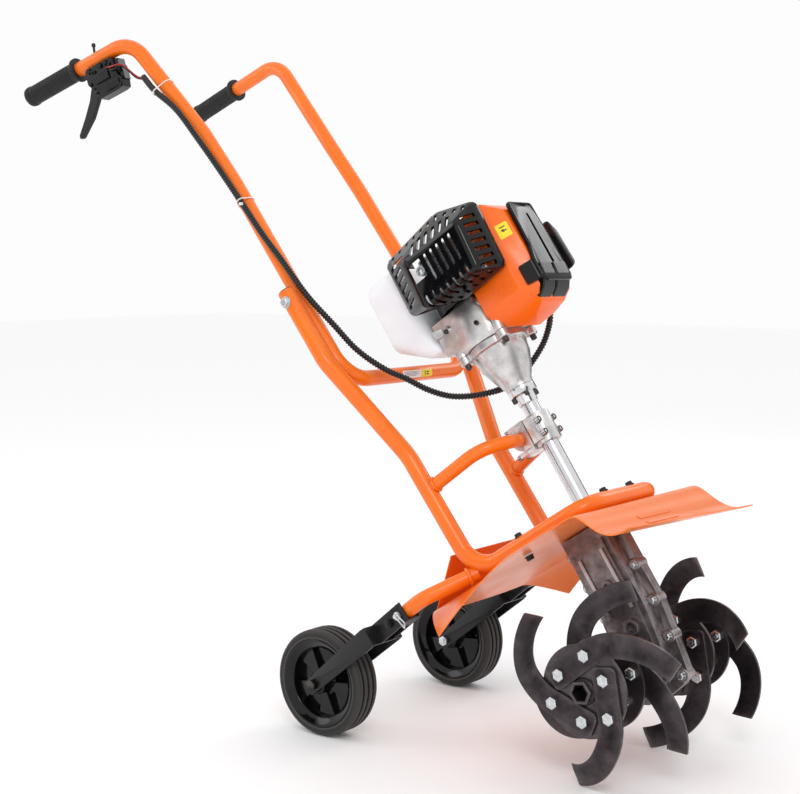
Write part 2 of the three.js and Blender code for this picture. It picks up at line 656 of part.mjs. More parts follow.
// Saddle under the arch bar
const saddle = crossB;
let clampSaddle = clampRear.intersect(box(-100, 60, -60, 60, -90, saddle - fit / 2));
clampRear = clampRear.intersect(box(-100, 60, -60, 60, saddle + fit / 2, 10));
clampSaddle = clampSaddle.add(box(clampS - 26, clampS - 18.5, -20, 20, saddle - 16, saddle - fit / 2))
  .add(box(clampS + 18.5, clampS + 26, -20, 20, saddle - 16, saddle - fit / 2));
clampRear = clampRear.add(box(clampS - 26, clampS - 18.5, -20, 20, saddle + fit / 2, saddle + 16))
  .add(box(clampS + 18.5, clampS + 26, -20, 20, saddle + fit / 2, saddle + 16));
for (const s of [clampS - 22.5, clampS + 22.5]) {
  for (const y of [-13, 13]) {
    clampSaddle = clampSaddle.add(bar([s, y, saddle - 24], [s, y, saddle - 15], 5, 8));
  }
}
add("shaft_clamp_front", clampFront, "alloy", shaftFrame);
add("shaft_clamp_rear", clampRear, "alloy", shaftFrame);
add("shaft_clamp_saddle", clampSaddle, "alloy", shaftFrame);

// ---- Gearbox: two cast halves split on the centre plane
const gearTop = plateTop + 2 * sheet + 3 * fit;
const axleS = axleDistance;
const axleB = -centreDistance;
const flangeLine = [
  [gearTop, -66], [gearTop, 44], [300, 44], [axleS - 14, 36], [axleS + 42, 26], [axleS + 54, 8],
  [axleS + 60, -30], [axleS + 57, -62], [axleS + 43, -90], [axleS + 21, -104], [axleS - 11, -107],
  [axleS - 36, -96], [axleS - 58, -72], [axleS - 70, -66],
];
const bodyLine = [
  [gearTop, -50], [gearTop, 30], [300, 30], [axleS - 16, 22], [axleS + 36, 10], [axleS + 46, -22],
  [axleS + 47, -56], [axleS + 36, -80], [axleS + 18, -93], [axleS - 10, -96], [axleS - 30, -86],
  [axleS - 48, -64], [axleS - 66, -50],
];
const cavityLine = [
  [axleS - 36, -16], [axleS - 36, 16], [axleS + 27, 16], [axleS + 31, -16], [axleS + 39, -40], [axleS + 37, -62],
  [axleS + 26, -80], [axleS + 6, -88], [axleS - 14, -87], [axleS - 31, -76], [axleS - 39, -50],
];
const seamScrews = [[234, 35], [294, 35], [axleS - 19, 28], [axleS + 41, 16], [174, -57], [228, -57], [281, -57]];
function gearHalf(side) {
  const inner = side * fit / 2;
  const span = (a, b) => [Math.min(side * a, side * b), Math.max(side * a, side * b)];
  const slab = (points, depth) => prismY(points, ...[inner, side * depth].sort((p, q) => p - q));
  let half = join(slab(flangeLine, 9), slab(bodyLine, 34));
  half = join(half,
    slab(bodyLine.map(([s, b]) => [s + (340 - s) * 0.12, b + (-20 - b) * 0.16]), 40),
    bar([axleS, side * 20, axleB], [axleS, side * 52, axleB], 28, 18),
    bar([246, side * 30, -8], [246, side * 43, -8], 11, 14),
    bar([316, side * 30, -2], [316, side * 47, -2], 14, 6),
  );
  for (const b of [-30, 14]) half = half.add(box(190, 290, ...span(36, 43), b - 3, b + 3));
  for (const [s, b] of seamScrews) half = half.add(bar([s, inner, b], [s, side * 13, b], 9, 8));
  const [y0, y1] = span(-1, 33);
  half = cut(half, prismY(cavityLine, y0, y1));
  half = cut(half,
    bar([gearTop - 5, 0, 0], [tubeEnd + 6, 0, 0], (shaftTube / 2 + fit) / Math.cos(Math.PI / 16), 16),
    bar([tubeEnd, 0, 0], [axleS + 32, 0, 0], 9, 10),
    bar([axleS, side * 10, axleB], [axleS, side * 60, axleB], hexAxle / 2 / Math.cos(Math.PI / 6) + 0.6, 20),
    bar([246, side * 38, -8], [246, side * 50, -8], 6, 10),
    bar([316, side * 40, -2], [316, side * 50, -2], 7, 10),
  );
  for (const [s, b] of seamScrews) {
    half = side < 0
      ? half.add(bar([s, side * 12, b], [s, side * 18, b], 5.5, 8)).add(bar([s, -1, b], [s, 12, b], 3, 6))
      : cut(half, bar([s, -1, b], [s, 14, b], 3.6, 6));
  }
  return half;
}
add("gearbox_right", gearHalf(-1), "cast", shaftFrame);
add("gearbox_left", gearHalf(1), "cast", shaftFrame);

// Hexagonal tine axle, worm wheel on its middle
const axleEnd = outerDiscY - 12;
const axle = fromShaft(axleS, 0, axleB);
const atAxle = new THREE.Matrix4().makeTranslation(axle.x, axle.y, axle.z);
const hexTurn = 20;
const hexTurned = (body) => placed(body, new THREE.Matrix4().makeRotationY(rad(hexTurn)));
add("tine_axle", hexTurned(hex([0, -axleEnd, 0], [0, axleEnd, 0], hexAxle)), "steel", atAxle);
const wormTeeth = 20;
const wormWheelRadius = centreDistance - 14 - 0.5;
let wormWheel = bar([0, -9, 0], [0, 9, 0], wormWheelRadius, wormTeeth);
for (let k = 0; k < wormTeeth; k += 1) {
  const t = (2 * Math.PI * k) / wormTeeth;
  const x = wormWheelRadius * Math.cos(t);
  const z = wormWheelRadius * Math.sin(t);
  wormWheel = cut(wormWheel, bar([x, -12, z], [x, 12, z], 2.6, 4));
}
wormWheel = cut(wormWheel, hexTurned(hex([0, -20, 0], [0, 20, 0], hexAxle + 2 * fit)));
add("worm_wheel", wormWheel, "brass", atAxle);

// ---- Tine discs and blades, set about the axle in the machine's own axes
const boltLine = 39.6;
const boltSpots = [[-17, boltLine], [38, boltLine]];
const bladeTurns = [0, 120, 240];
const boltHole = (tineBolt / 2 + fit) / Math.cos(Math.PI / 8);

function discBody(side, y, hubFrom, hubTo, turn) {
  let disc = join(
    bar([0, side * (y - discThickness / 2), 0], [0, side * (y + discThickness / 2), 0], discRadius, 24),
    hexTurned(hex([0, side * hubFrom, 0], [0, side * hubTo, 0], 32)),
  );
  disc = cut(disc, hexTurned(hex([0, side * (hubFrom - 5), 0], [0, side * (hubTo + 5), 0], hexAxle + 2 * fit)));
  for (const step of bladeTurns) {
    for (const [u, v] of boltSpots) {
      const p = new THREE.Vector3(u, 0, v).applyAxisAngle(leftward, rad(turn + step));
      disc = cut(disc, bar([p.x, side * (y - 6), p.z], [p.x, side * (y + 6), p.z], boltHole, 8));
    }
  }
  return disc;
}

// Flat strip given by four corners at each station, closed at both ends
function strip(sections) {
  const corners = sections.flat();
  const last = 4 * (sections.length - 1);
  const index = [0, 2, 1, 0, 3, 2, last, last + 1, last + 2, last, last + 2, last + 3];
  for (let k = 0; k < last; k += 4) {
    for (let c = 0; c < 4; c += 1) {
      const d = (c + 1) % 4;
      index.push(k + c, k + d, k + 4 + d, k + c, k + 4 + d, k + 4 + c);
    }
  }
  const shape = new THREE.BufferGeometry();
  shape.setAttribute("position", new THREE.Float32BufferAttribute(corners.flat(), 3));
  shape.setIndex(index);
  return solid(shape.toNonIndexed());
}

// One blade: flat across the disc, then a scythe curve whose tip leans towards the gearbox
function bladeShape(face, lean) {
  const half = bladeWidth / 2;
  const line = boltLine;
  const straight = 40;
  const steps = 8;
  const section = (u0, v0, u1, v1, w) => [
    [u0, w, v0], [u0, w + bladeThickness, v0], [u1, w + bladeThickness, v1], [u1, w, v1],
  ];
  const sections = [
    section(-36, line - half + 8, -36, line + half - 8, face),
    section(-28, line - half, -28, line + half, face),
  ];
  for (let k = 0; k <= steps; k += 1) {
    const part = k / steps;
    const t = rad(88 * part);
    const ti = rad(95 * part);
    const width = half * (1 - 0.18 * part ** 2);
    const w = face + lean * THREE.MathUtils.clamp((part - 0.38) / 0.62, 0, 1) ** 1.5;
    sections.push(section(
      straight + (bladeArc - width) * Math.sin(ti), line - bladeArc + (bladeArc - width) * Math.cos(ti),
      straight + (bladeArc + width) * Math.sin(t), line - bladeArc + (bladeArc + width) * Math.cos(t), w,
    ));
  }
  return strip(sections);
}

const lowPhase = 80;
function blade(side, discY, outward, turn) {
  // outward is 1 for blades bolted on the face away from the gearbox, -1 for the face towards it
  const surface = discY + (outward * discThickness) / 2;
  const near = surface + outward * fit;
  const far = near + outward * bladeThickness;
  const low = Math.min(side * near, side * far);
  let body = bladeShape(low, -side * 30);
  for (const [u, v] of boltSpots) {
    const head0 = far - outward * 0.5;
    const head1 = far + outward * 6.5;
    const nut0 = discY - outward * (discThickness / 2 + fit);
    const nut1 = nut0 - outward * 8;
    body = join(body,
      hex([u, side * head0, v], [u, side * head1, v], 17),
      bar([u, side * head0, v], [u, side * (nut1 - outward * 3), v], tineBolt / 2, 6),
      hex([u, side * nut0, v], [u, side * nut1, v], 17));
  }
  return placed(body, new THREE.Matrix4().makeRotationY(rad(turn)));
}

// The blade drawn above points forward; turns are about Y, positive tips it towards the ground
for (const [side, label] of [[-1, "right"], [1, "left"]]) {
  const outerTurn = side < 0 ? lowPhase : lowPhase + 60;
  const innerTurn = outerTurn + 60;
  add(`tine_disc_${label}_outer`, discBody(side, outerDiscY, innerDiscY + 18.3, outerDiscY + 15, outerTurn), "steel", atAxle);
  add(`tine_disc_${label}_inner`, discBody(side, innerDiscY, 54, innerDiscY + 18, innerTurn), "steel", atAxle);
  bladeTurns.forEach((step, k) => {
    add(`tine_${label}_outer_${k + 1}`, blade(side, outerDiscY, 1, outerTurn + step), "steel", atAxle);
  });
  bladeTurns.forEach((step, k) => {
    add(`tine_${label}_inner_${k + 1}`, blade(side, innerDiscY, -1, innerTurn + step), "steel", atAxle);
  });
}

// ---- Fender: rear plate with drooping wings, front apron, rear flap
const rearEdge = -276;
const frontEdge = 62;
function droop(b, y) {
  const back = THREE.MathUtils.clamp((-40 - b) / 185, 0, 1);
  const out = THREE.MathUtils.clamp((Math.abs(y) - 125) / (fenderHalfWidth - 125), 0, 1);
  return 46 * back ** 1.4 * out ** 1.5;
}
const plate = new THREE.BoxGeometry(sheet, 2 * fenderHalfWidth, frontEdge + 30 - rearEdge, 1, 12, 8);
{
  const position = plate.attributes.position;
  for (let i = 0; i < position.count; i += 1) {
    const y = position.getY(i);
    const across = Math.abs(y) / fenderHalfWidth;
    const length = frontEdge + 30 - rearEdge;
    const t = position.getZ(i) / length + 0.5;
    const back = rearEdge + 50 * across ** 3;
    const b = back + t * (frontEdge + 30 - back);
    const s = position.getX(i) + plateTop + sheet / 2 + droop(b, y);
    position.setXYZ(i, s, y, b);
  }
}
let rearPlate = solid(plate);
rearPlate = cut(rearPlate, bar([plateTop - 10, 0, 0], [plateTop + 20, 0, 0], shaftTube / 2 + 3, 24));
rearPlate = placed(rearPlate, shaftFrame);
rearPlate = cut(rearPlate, ...boltHoles);

const apronCurve = [
  [plateTop + sheet + fit, 44], [plateTop + sheet + fit, 84], [155, 92], [167, 100], [183, 108], [198, 118], [208, 130], [214, 144],
  [216, 160],
];
function offsetLine(points, distance) {
  return points.map(([s, b], i) => {
    const [s0, b0] = points[Math.max(i - 1, 0)];
    const [s1, b1] = points[Math.min(i + 1, points.length - 1)];
    const length = Math.hypot(s1 - s0, b1 - b0);
    return [s + (distance * (b1 - b0)) / length, b - (distance * (s1 - s0)) / length];
  });
}
const apronPoints = [...apronCurve, ...offsetLine(apronCurve, sheet).reverse()];
let apron = prismY(apronPoints, -fenderHalfWidth, fenderHalfWidth);
apron = placed(apron, shaftFrame);
apron = cut(apron, ...boltHoles);
add("fender_front", apron, "fender");

// Flap standing up behind the plate between the lower legs
const flapFoot = fromShaft(plateTop - 0.4, 0, rearEdge + 10);
let flap = prismY([
  [flapFoot.x, flapFoot.z], [flapFoot.x + 3, flapFoot.z + 1.5], [203.4, 309], [200.4, 309],
], -116, 116);
flap = flap.add(placed(box(plateTop - 2, plateTop + 0.5, -116, 116, rearEdge + 6, rearEdge + 34), shaftFrame));
add("fender_rear", rearPlate.add(flap), "fender");

// ---- Wheels and their brackets
for (const [side, label] of [[-1, "right"], [1, "left"]]) {
  const half = wheelWidth / 2;
  const move = new THREE.Matrix4().makeTranslation(0, side * wheelY, wheelRadius);
  const seat = rimRadius + fit;
  const tread = [[seat, -half], [wheelRadius - 8, -half], [wheelRadius - 2, -half + 4]];
  const grooves = [];
  for (let k = 0; k < 3; k += 1) {
    const y = 12 * (k - 1);
    grooves.push([wheelRadius, y - 2.6], [wheelRadius - 4, y], [wheelRadius, y + 2.6]);
  }
  const profile = [...tread, ...grooves, [wheelRadius - 2, half - 4], [wheelRadius - 8, half], [seat, half], [seat, -half]];
  add(`wheel_tyre_${label}`, turnedY(profile, wheelSides), "rubber", move);

  let rim = join(
    turnedY([[62, -half + 3], [rimRadius, -half + 2], [rimRadius, half - 2], [62, half - 3], [62, -half + 3]], wheelSides),
    turnedY([[0, -5], [66, -9], [66, 9], [0, 5]], wheelSides),
    bar([0, -half - 4, 0], [0, half + 4, 0], 17, 12),
  );
  for (let k = 0; k < 5; k += 1) {
    const t0 = rad(72 * k + 8);
    const t1 = rad(72 * k + 42);
    const wedge = prismY([
      [24 * Math.cos((t0 + t1) / 2), 24 * Math.sin((t0 + t1) / 2)],
      [57 * Math.cos(t1), 57 * Math.sin(t1)],
      [57 * Math.cos(t0), 57 * Math.sin(t0)],
    ], -15, 15);
    rim = cut(rim, wedge);
  }
  rim = cut(rim, bar([0, -half - 10, 0], [0, half + 10, 0], 5.4, 10));
  add(`wheel_rim_${label}`, rim, "plastic", move);

  // Bracket: wide cheeks past the tyre, then a narrow open channel around the arm
  const bracketFrame = new THREE.Matrix4().makeRotationY(-rad(bracketAngle))
    .setPosition(0, side * wheelY, wheelRadius);
  const cheek = half + 9;
  const channel = armTube / 2 + 1;
  const bridge = wheelRadius + 62;
  let bracket = box(bridge, bridge + bracketSheet, -cheek - bracketSheet, cheek + bracketSheet, -16, 16);
  for (const face of [-1, 1]) {
    const a = face * cheek;
    const b = face * (cheek + bracketSheet);
    const wide = prismY([[-14, -12], [-14, 12], [bridge - 6, 17], [bridge + bracketSheet, 16], [bridge + bracketSheet, -16], [bridge - 6, -17]],
      Math.min(a, b), Math.max(a, b));
    const c = face * channel;
    const d = face * (channel + bracketSheet);
    const narrow = prismY([[bridge, -16], [bridge, 16], [222, 16], [222, -16]], Math.min(c, d), Math.max(c, d));
    bracket = join(bracket, wide, narrow);
  }
  bracket = bracket.add(box(198, 222, -channel - 1, channel + 1, -16, -13.3));
  bracket = cut(bracket,
    bar([0, -60, 0], [0, 60, 0], 5.4, 10),
    bar([pinDistance, -60, 0], [pinDistance, 60, 0], 3.9, 10));
  const bolt = channel + bracketSheet;
  bracket = join(bracket,
    bar([pivotDistance, -bolt - 7, 0], [pivotDistance, bolt + 7, 0], 4, 10),
    hex([pivotDistance, side * (bolt - 0.5), 0], [pivotDistance, side * (bolt + 5.5), 0], 13),
    hex([pivotDistance, -side * (bolt - 0.5), 0], [pivotDistance, -side * (bolt + 6), 0], 13));
  add(`wheel_bracket_${label}`, bracket, "black", bracketFrame);

  const boltEnd = cheek + bracketSheet;
  add(`wheel_bolt_${label}`, join(
    bar([0, side * (boltEnd + 5), 0], [0, -side * (boltEnd + 9), 0], 5, 10),
    hex([0, side * (boltEnd + fit), 0], [0, side * (boltEnd + 6.5), 0], 16),
    hex([0, -side * (boltEnd + fit), 0], [0, -side * (boltEnd + 8), 0], 16),
  ), "zinc", move);
  const outer = channel + bracketSheet;
  add(`lock_pin_${label}`, join(
    bar([pinDistance, side * (outer + 9), 0], [pinDistance, -side * (outer + 5), 0], 3.5, 10),
    bar([pinDistance, side * (outer + 0.6), 0], [pinDistance, side * (outer + 3), 0], 7, 12),
    bar([pinDistance - 1, side * (outer + 6.5), 4], [pinDistance + 4, side * (outer + 6.5), -24], 1.3, 5),
    bar([pinDistance + 4, side * (outer + 6.5), -24], [pinDistance + 9, side * (outer + 6.5), -17], 1.3, 5),
    bar([pinDistance + 9, side * (outer + 6.5), -17], [pinDistance + 3, side * (outer + 6.5), 3], 1.3, 5),
  ), "zinc", bracketFrame);
}

// ---- Control conduit: throttle housing, along the right leg, under the crankcase, up to the carburettor
const conduitSize = 11;
const control = (x, y, z) => new THREE.Vector3(x, y, z).applyMatrix4(controlFrame);
const legGap = handleTube / 2 + conduitSize / 2 + 1;
const legPoint = (height, side, forward) => new THREE.Vector3(
  handleAt(height) + forward, -(legY + side), height);
const conduitRun = new THREE.CatmullRomCurve3([
  control(36.4, 0, -24),
  control(74, 0, -25),
  new THREE.Vector3(-408, -(legY + 27), 1092),
  new THREE.Vector3(-375, -(legY + 32), 1066),
  new THREE.Vector3(-326, -(legY + 30), 1032),
  new THREE.Vector3(-279, -(legY + legGap + 5), 980),
  legPoint(923, legGap + 2, 2),
  legPoint(871, legGap, 7),
  legPoint(820, legGap - 1, 12),
  legPoint(774, 16, 20),
  legPoint(716, 13, 29),
  legPoint(670, -5, 34),
  new THREE.Vector3(26, -135, 629),
  new THREE.Vector3(64, -108, 597),
  new THREE.Vector3(88, -85, 582),
  new THREE.Vector3(115, -62, 564),
  new THREE.Vector3(143, -42, 554),
  new THREE.Vector3(172, -22, 554),
  fromShaft(-122, 0, -44),
  fromShaft(-127, 30, -40),
  fromShaft(-133, 47, -12),
  fromShaft(-142, 54, 14),
  fromShaft(-160, 62, 46),
  fromShaft(-184, 60, 76),
  fromShaft(-201, 57, 86),
], false, "centripetal");
const conduitCircle = new THREE.Shape();
for (let k = 0; k < 8; k += 1) {
  const turn = (Math.PI * k) / 4;
  const x = (conduitSize / 2) * Math.cos(turn);
  const y = (conduitSize / 2) * Math.sin(turn);
  if (k === 0) conduitCircle.moveTo(x, y);
  else conduitCircle.lineTo(x, y);
}
conduitCircle.closePath();
add("control_conduit", solid(new THREE.ExtrudeGeometry(conduitCircle,
  { steps: 40, extrudePath: conduitRun, bevelEnabled: false })), "plastic");

// The origin is the middle of the footprint, on the ground
const extent = new THREE.Box3().setFromObject(group);
const middle = extent.getCenter(new THREE.Vector3());
for (const item of group.children) item.geometry.translate(-middle.x, -middle.y, -extent.min.z);

export default group;
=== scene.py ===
import json
import math

import bmesh
import bpy
from mathutils import Matrix, Quaternion, Vector


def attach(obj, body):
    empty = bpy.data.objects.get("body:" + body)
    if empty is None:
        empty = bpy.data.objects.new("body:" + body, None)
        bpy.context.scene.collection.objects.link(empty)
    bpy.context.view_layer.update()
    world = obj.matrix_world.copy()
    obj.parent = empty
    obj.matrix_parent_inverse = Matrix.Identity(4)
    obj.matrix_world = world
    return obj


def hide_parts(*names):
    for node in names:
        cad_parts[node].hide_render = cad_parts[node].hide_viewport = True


# Petrol mini tiller. Pieces are drawn in millimetres in the space of the part they belong to.
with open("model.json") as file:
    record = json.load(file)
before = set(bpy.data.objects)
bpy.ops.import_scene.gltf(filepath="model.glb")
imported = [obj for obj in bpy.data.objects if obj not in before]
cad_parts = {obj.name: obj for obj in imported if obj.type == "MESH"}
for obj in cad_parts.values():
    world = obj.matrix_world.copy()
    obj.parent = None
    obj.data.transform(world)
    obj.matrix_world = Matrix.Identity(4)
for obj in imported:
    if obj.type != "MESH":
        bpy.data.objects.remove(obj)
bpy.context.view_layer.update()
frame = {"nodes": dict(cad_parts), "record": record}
joint = {j["name"]: j for j in frame["record"]["behaviour"]["joints"]}

general = {
    "tubeSides": 36,
    "wheelRadius": 87.5,
    "wheelWidth": 50,
    "wheelTrack": 364,
    "frameTube": 28,
    "handleTube": 26,
    "archTube": 22,
    "armTube": 24,
    "shaftTube": 28,
    "plateTop": 147.4,
    "fenderHalfWidth": 190,
    "bracketAngle": 40,
}

millimetre = Matrix.Scale(0.001, 4)
leftward = Vector((0, 1, 0))
wheelAt = Vector(joint["wheel_left_spin"]["pos_m"])
machineSpace = Matrix.Translation((wheelAt.x, 0, wheelAt.z - general["wheelRadius"] / 1000)) @ millimetre


def axesSpace(origin, along, side, up):
    turn = Matrix((along, side, up)).transposed().to_4x4()
    return Matrix.Translation(origin) @ turn @ millimetre


# x runs down the drive shaft, y to the left, z forward and up
shaftDown = Vector(joint["crank_spin"]["axis"]).normalized()
shaftUp = shaftDown.cross(leftward)
shaftSpace = axesSpace(Vector(joint["crank_spin"]["pos_m"]), shaftDown, leftward, shaftUp)
axleSpace = Matrix.Translation(joint["rotor_spin"]["pos_m"]) @ millimetre
intoMachine = machineSpace.inverted() @ shaftSpace


def fromShaft(s, y, b):
    return intoMachine @ Vector((s, y, b))


# materials
def linear(hexColour):
    parts = [int(hexColour[k:k + 2], 16) / 255 for k in (1, 3, 5)]
    flat = [c / 12.92 if c <= 0.04045 else ((c + 0.055) / 1.055) ** 2.4 for c in parts]
    return (*flat, 1)


def addNode(tree, kind, settings=None, links=None):
    item = tree.nodes.new(kind)
    for key, value in (settings or {}).items():
        if key in item.inputs:
            item.inputs[key].default_value = value
        else:
            setattr(item, key, value)
    for key, source in (links or {}).items():
        tree.links.new(source, item.inputs[key])
    return item


def surface(name, look):
    # look: colour, second colour for mottling, edge colour, grain in mm, bump height in mm, roughness spread
    material = bpy.data.materials.new(name)
    material.use_nodes = True
    tree = material.node_tree
    tree.nodes.clear()
    place = addNode(tree, "ShaderNodeTexCoord").outputs["Object"]
    cloud = addNode(tree, "ShaderNodeTexNoise",
                    {"Scale": 1000 / look.get("patch", 40), "Detail": 4, "Roughness": 0.6}, {"Vector": place})
    grain = addNode(tree, "ShaderNodeTexNoise",
                    {"Scale": 1000 / look.get("grain", 1.5), "Detail": 2, "Roughness": 0.55},
                    {"Vector": place})
    spread = addNode(tree, "ShaderNodeMapRange",
                     {"From Min": 0.35, "From Max": 0.68, "To Min": 0, "To Max": look.get("mottle", 0.5)},
                     {"Value": cloud.outputs["Fac"]})
    tint = addNode(tree, "ShaderNodeMix", {"data_type": "RGBA"}, {"Factor": spread.outputs["Result"]})
    tint.inputs[6].default_value = linear(look["colour"])
    tint.inputs[7].default_value = linear(look.get("second", look["colour"]))
    colour = tint.outputs[2]
    if "edge" in look:
        # rubbed or dusty edges
        corner = addNode(tree, "ShaderNodeNewGeometry").outputs["Pointiness"]
        rubbed = look.get("edgeAmount", 0.5)
        mask = addNode(tree, "ShaderNodeMapRange",
                       {"From Min": 0.52, "From Max": 0.62, "To Min": 0, "To Max": rubbed}, {"Value": corner})
        worn = addNode(tree, "ShaderNodeMix", {"data_type": "RGBA"},
                       {"Factor": mask.outputs["Result"]})
        worn.inputs[7].default_value = linear(look["edge"])
        tree.links.new(colour, worn.inputs[6])
        colour = worn.outputs[2]
    rough = addNode(tree, "ShaderNodeMapRange",
                    {"From Min": 0.3, "From Max": 0.7,
                     "To Min": look["rough"][0], "To Max": look["rough"][1]},
                    {"Value": cloud.outputs["Fac"]})
    bump = addNode(tree, "ShaderNodeBump",
                   {"Strength": look.get("strength", 0.3), "Distance": look.get("height", 0.05) / 1000},
                   {"Height": grain.outputs["Fac"]})
    shader = addNode(tree, "ShaderNodeBsdfPrincipled", {
        "Metallic": look.get("metal", 0),
        "Coat Weight": look.get("coat", 0),
        "Coat Roughness": look.get("coatRough", 0.1),
        "Subsurface Weight": look.get("milk", 0),
    }, {"Base Color": colour, "Roughness": rough.outputs["Result"], "Normal": bump.outputs["Normal"]})
    if "milk" in look:
        shader.inputs["Subsurface Radius"].default_value = (0.012, 0.011, 0.012)
    if "shine" in look:
        shader.inputs["Specular IOR Level"].default_value = look["shine"]
    if "ior" in look:
        shader.inputs["IOR"].default_value = look["ior"]
    addNode(tree, "ShaderNodeOutputMaterial", None, {"Surface": shader.outputs["BSDF"]})
    return material


# polyester powder coat on steel tube: even gloss with a very slight orange peel, 1.5 mm across
powderOrange = surface("powderCoatOrange", {
    "colour": "#F2740E", "second": "#EA6708", "rough": (0.24, 0.36), "coat": 0.12, "coatRough": 0.12,
    "shine": 0.4, "grain": 1.5, "height": 0.03, "strength": 0.25, "patch": 60, "ior": 1.5})
# the same coat on pressed sheet, painted a little paler all over: a painted sheen standing in for where light
# rakes it
sheetOrangePaintedSheen = surface("powderCoatSheetPaintedSheen", {
    "colour": "#F0761E", "second": "#E96A14", "rough": (0.26, 0.4), "coat": 0.1, "coatRough": 0.15,
    "grain": 1.8, "height": 0.03, "strength": 0.25, "patch": 90, "ior": 1.5})
# injection-moulded ABS shell: bright, saturated, smooth
shellOrange = surface("mouldedAbsOrange", {
    "colour": "#F66A0E", "second": "#F05E07", "rough": (0.2, 0.3), "coat": 0.1, "coatRough": 0.1,
    "shine": 0.4, "grain": 0.8, "height": 0.02, "strength": 0.15, "patch": 30, "ior": 1.53})
# glass-filled nylon from a polished mould: black with soft broad highlights
glossBlack = surface("mouldedNylonGloss", {
    "colour": "#08080A", "second": "#101013", "rough": (0.07, 0.16), "shine": 0.3,
    "grain": 0.7, "height": 0.02, "strength": 0.3, "patch": 12, "ior": 1.53})
# the same nylon with a fine spark-eroded grain, duller
satinBlack = surface("mouldedNylonSatin", {
    "colour": "#0E0E10", "second": "#18181A", "edge": "#38383C", "edgeAmount": 0.3, "rough": (0.26, 0.42),
    "shine": 0.3, "grain": 0.6, "height": 0.05, "strength": 0.5, "patch": 15, "ior": 1.53})
# corrugated polypropylene: waxy black, a line of light on every rib
hoseBlack = surface("corrugatedPolypropylene", {
    "colour": "#131314", "second": "#1C1C1E", "rough": (0.22, 0.34), "grain": 0.8, "height": 0.02,
    "patch": 20, "ior": 1.49})
# moulded rubber: nearly no highlight, faint grey bloom
rubberBlack = surface("mouldedRubber", {
    "colour": "#111112", "second": "#1D1D1F", "edge": "#333335", "edgeAmount": 0.4, "rough": (0.5, 0.7),
    "shine": 0.35, "grain": 0.9, "height": 0.08, "strength": 0.5, "patch": 20, "ior": 1.52})
# solid tyre rubber: dusty grey on the tread edges
tyreRubber = surface("solidTyreRubber", {
    "colour": "#1E1D1F", "second": "#2C2B2D", "edge": "#6B645B", "edgeAmount": 0.7, "rough": (0.5, 0.7),
    "shine": 0.35, "grain": 1.1, "height": 0.1, "strength": 0.5, "patch": 25, "ior": 1.52})
# die-cast aluminium, as cast and tumbled: soft grey with a fine sandy skin
castAlloy = surface("dieCastAluminium", {
    "colour": "#D9D7D6", "second": "#A3A09F", "edge": "#F2F2F2", "edgeAmount": 0.6, "rough": (0.28, 0.44),
    "metal": 1, "grain": 0.9, "height": 0.12, "strength": 0.55, "patch": 14, "mottle": 0.6})
# drawn tube, centreless ground: clean and nearly mirror bright
groundTube = surface("groundAlloyTube", {
    "colour": "#DCDCDE", "second": "#C6C6CA", "rough": (0.14, 0.26), "metal": 1,
    "grain": 0.5, "height": 0.01, "strength": 0.3, "patch": 18})
# zinc-plated steel screws: cool bright grey
zincPlate = surface("zincPlatedSteel", {
    "colour": "#D6D9DB", "second": "#A9ADB1", "edge": "#F2F3F4", "edgeAmount": 0.5, "rough": (0.2, 0.36),
    "metal": 1, "grain": 0.6, "height": 0.03, "strength": 0.4, "patch": 6})
# black-oxide socket screws: dark with a small sharp highlight
blackOxide = surface("blackOxideScrew", {
    "colour": "#2A2827", "second": "#171616", "edge": "#77736F", "edgeAmount": 0.4, "rough": (0.28, 0.42),
    "metal": 0.85, "grain": 0.5, "height": 0.03, "strength": 0.4, "patch": 5})
# die-cast gearbox with a thin dark coating: brown-grey, rough skin, rubbed edges
darkCasting = surface("coatedGearCasting", {
    "colour": "#92898A", "second": "#564E50", "edge": "#CCC6C6", "edgeAmount": 0.8, "rough": (0.26, 0.42),
    "metal": 0.9, "grain": 1.2, "height": 0.2, "strength": 0.6, "patch": 16, "mottle": 0.8})
# hardened spring steel with rolling scale: near black, uneven sheen
scaleSteel = surface("hardenedTineSteel", {
    "colour": "#453D40", "second": "#1D191C", "edge": "#A49A9A", "edgeAmount": 0.7, "rough": (0.24, 0.44),
    "metal": 0.8, "grain": 1.6, "height": 0.12, "strength": 0.5, "patch": 22, "mottle": 0.9})
# satin black paint on folded steel
satinPaint = surface("satinBlackPaint", {
    "colour": "#0F0F10", "second": "#18181A", "edge": "#47474B", "edgeAmount": 0.4, "rough": (0.26, 0.38),
    "shine": 0.35, "grain": 1.3, "height": 0.03, "strength": 0.4, "patch": 25, "ior": 1.5})
# natural blow-moulded polyethylene: milky, light passes into the wall
milkTank = surface("naturalPolyethylene", {
    "colour": "#F3F5FA", "second": "#E9ECF3", "rough": (0.3, 0.42), "milk": 0.25,
    "grain": 2.2, "height": 0.05, "strength": 0.3, "patch": 30, "ior": 1.51})
# printed vinyl
labelYellow = surface("vinylYellow", {
    "colour": "#F7D916", "second": "#EFCB10", "rough": (0.3, 0.4), "grain": 0.9, "height": 0.01, "patch": 10})
labelWhite = surface("vinylWhite", {
    "colour": "#E9E9EA", "second": "#DCDCDE", "rough": (0.3, 0.4), "grain": 0.9, "height": 0.01, "patch": 10})
labelInk = surface("vinylInk", {
    "colour": "#1A1A1A", "second": "#232323", "rough": (0.35, 0.45),
    "grain": 0.9, "height": 0.01, "patch": 10})
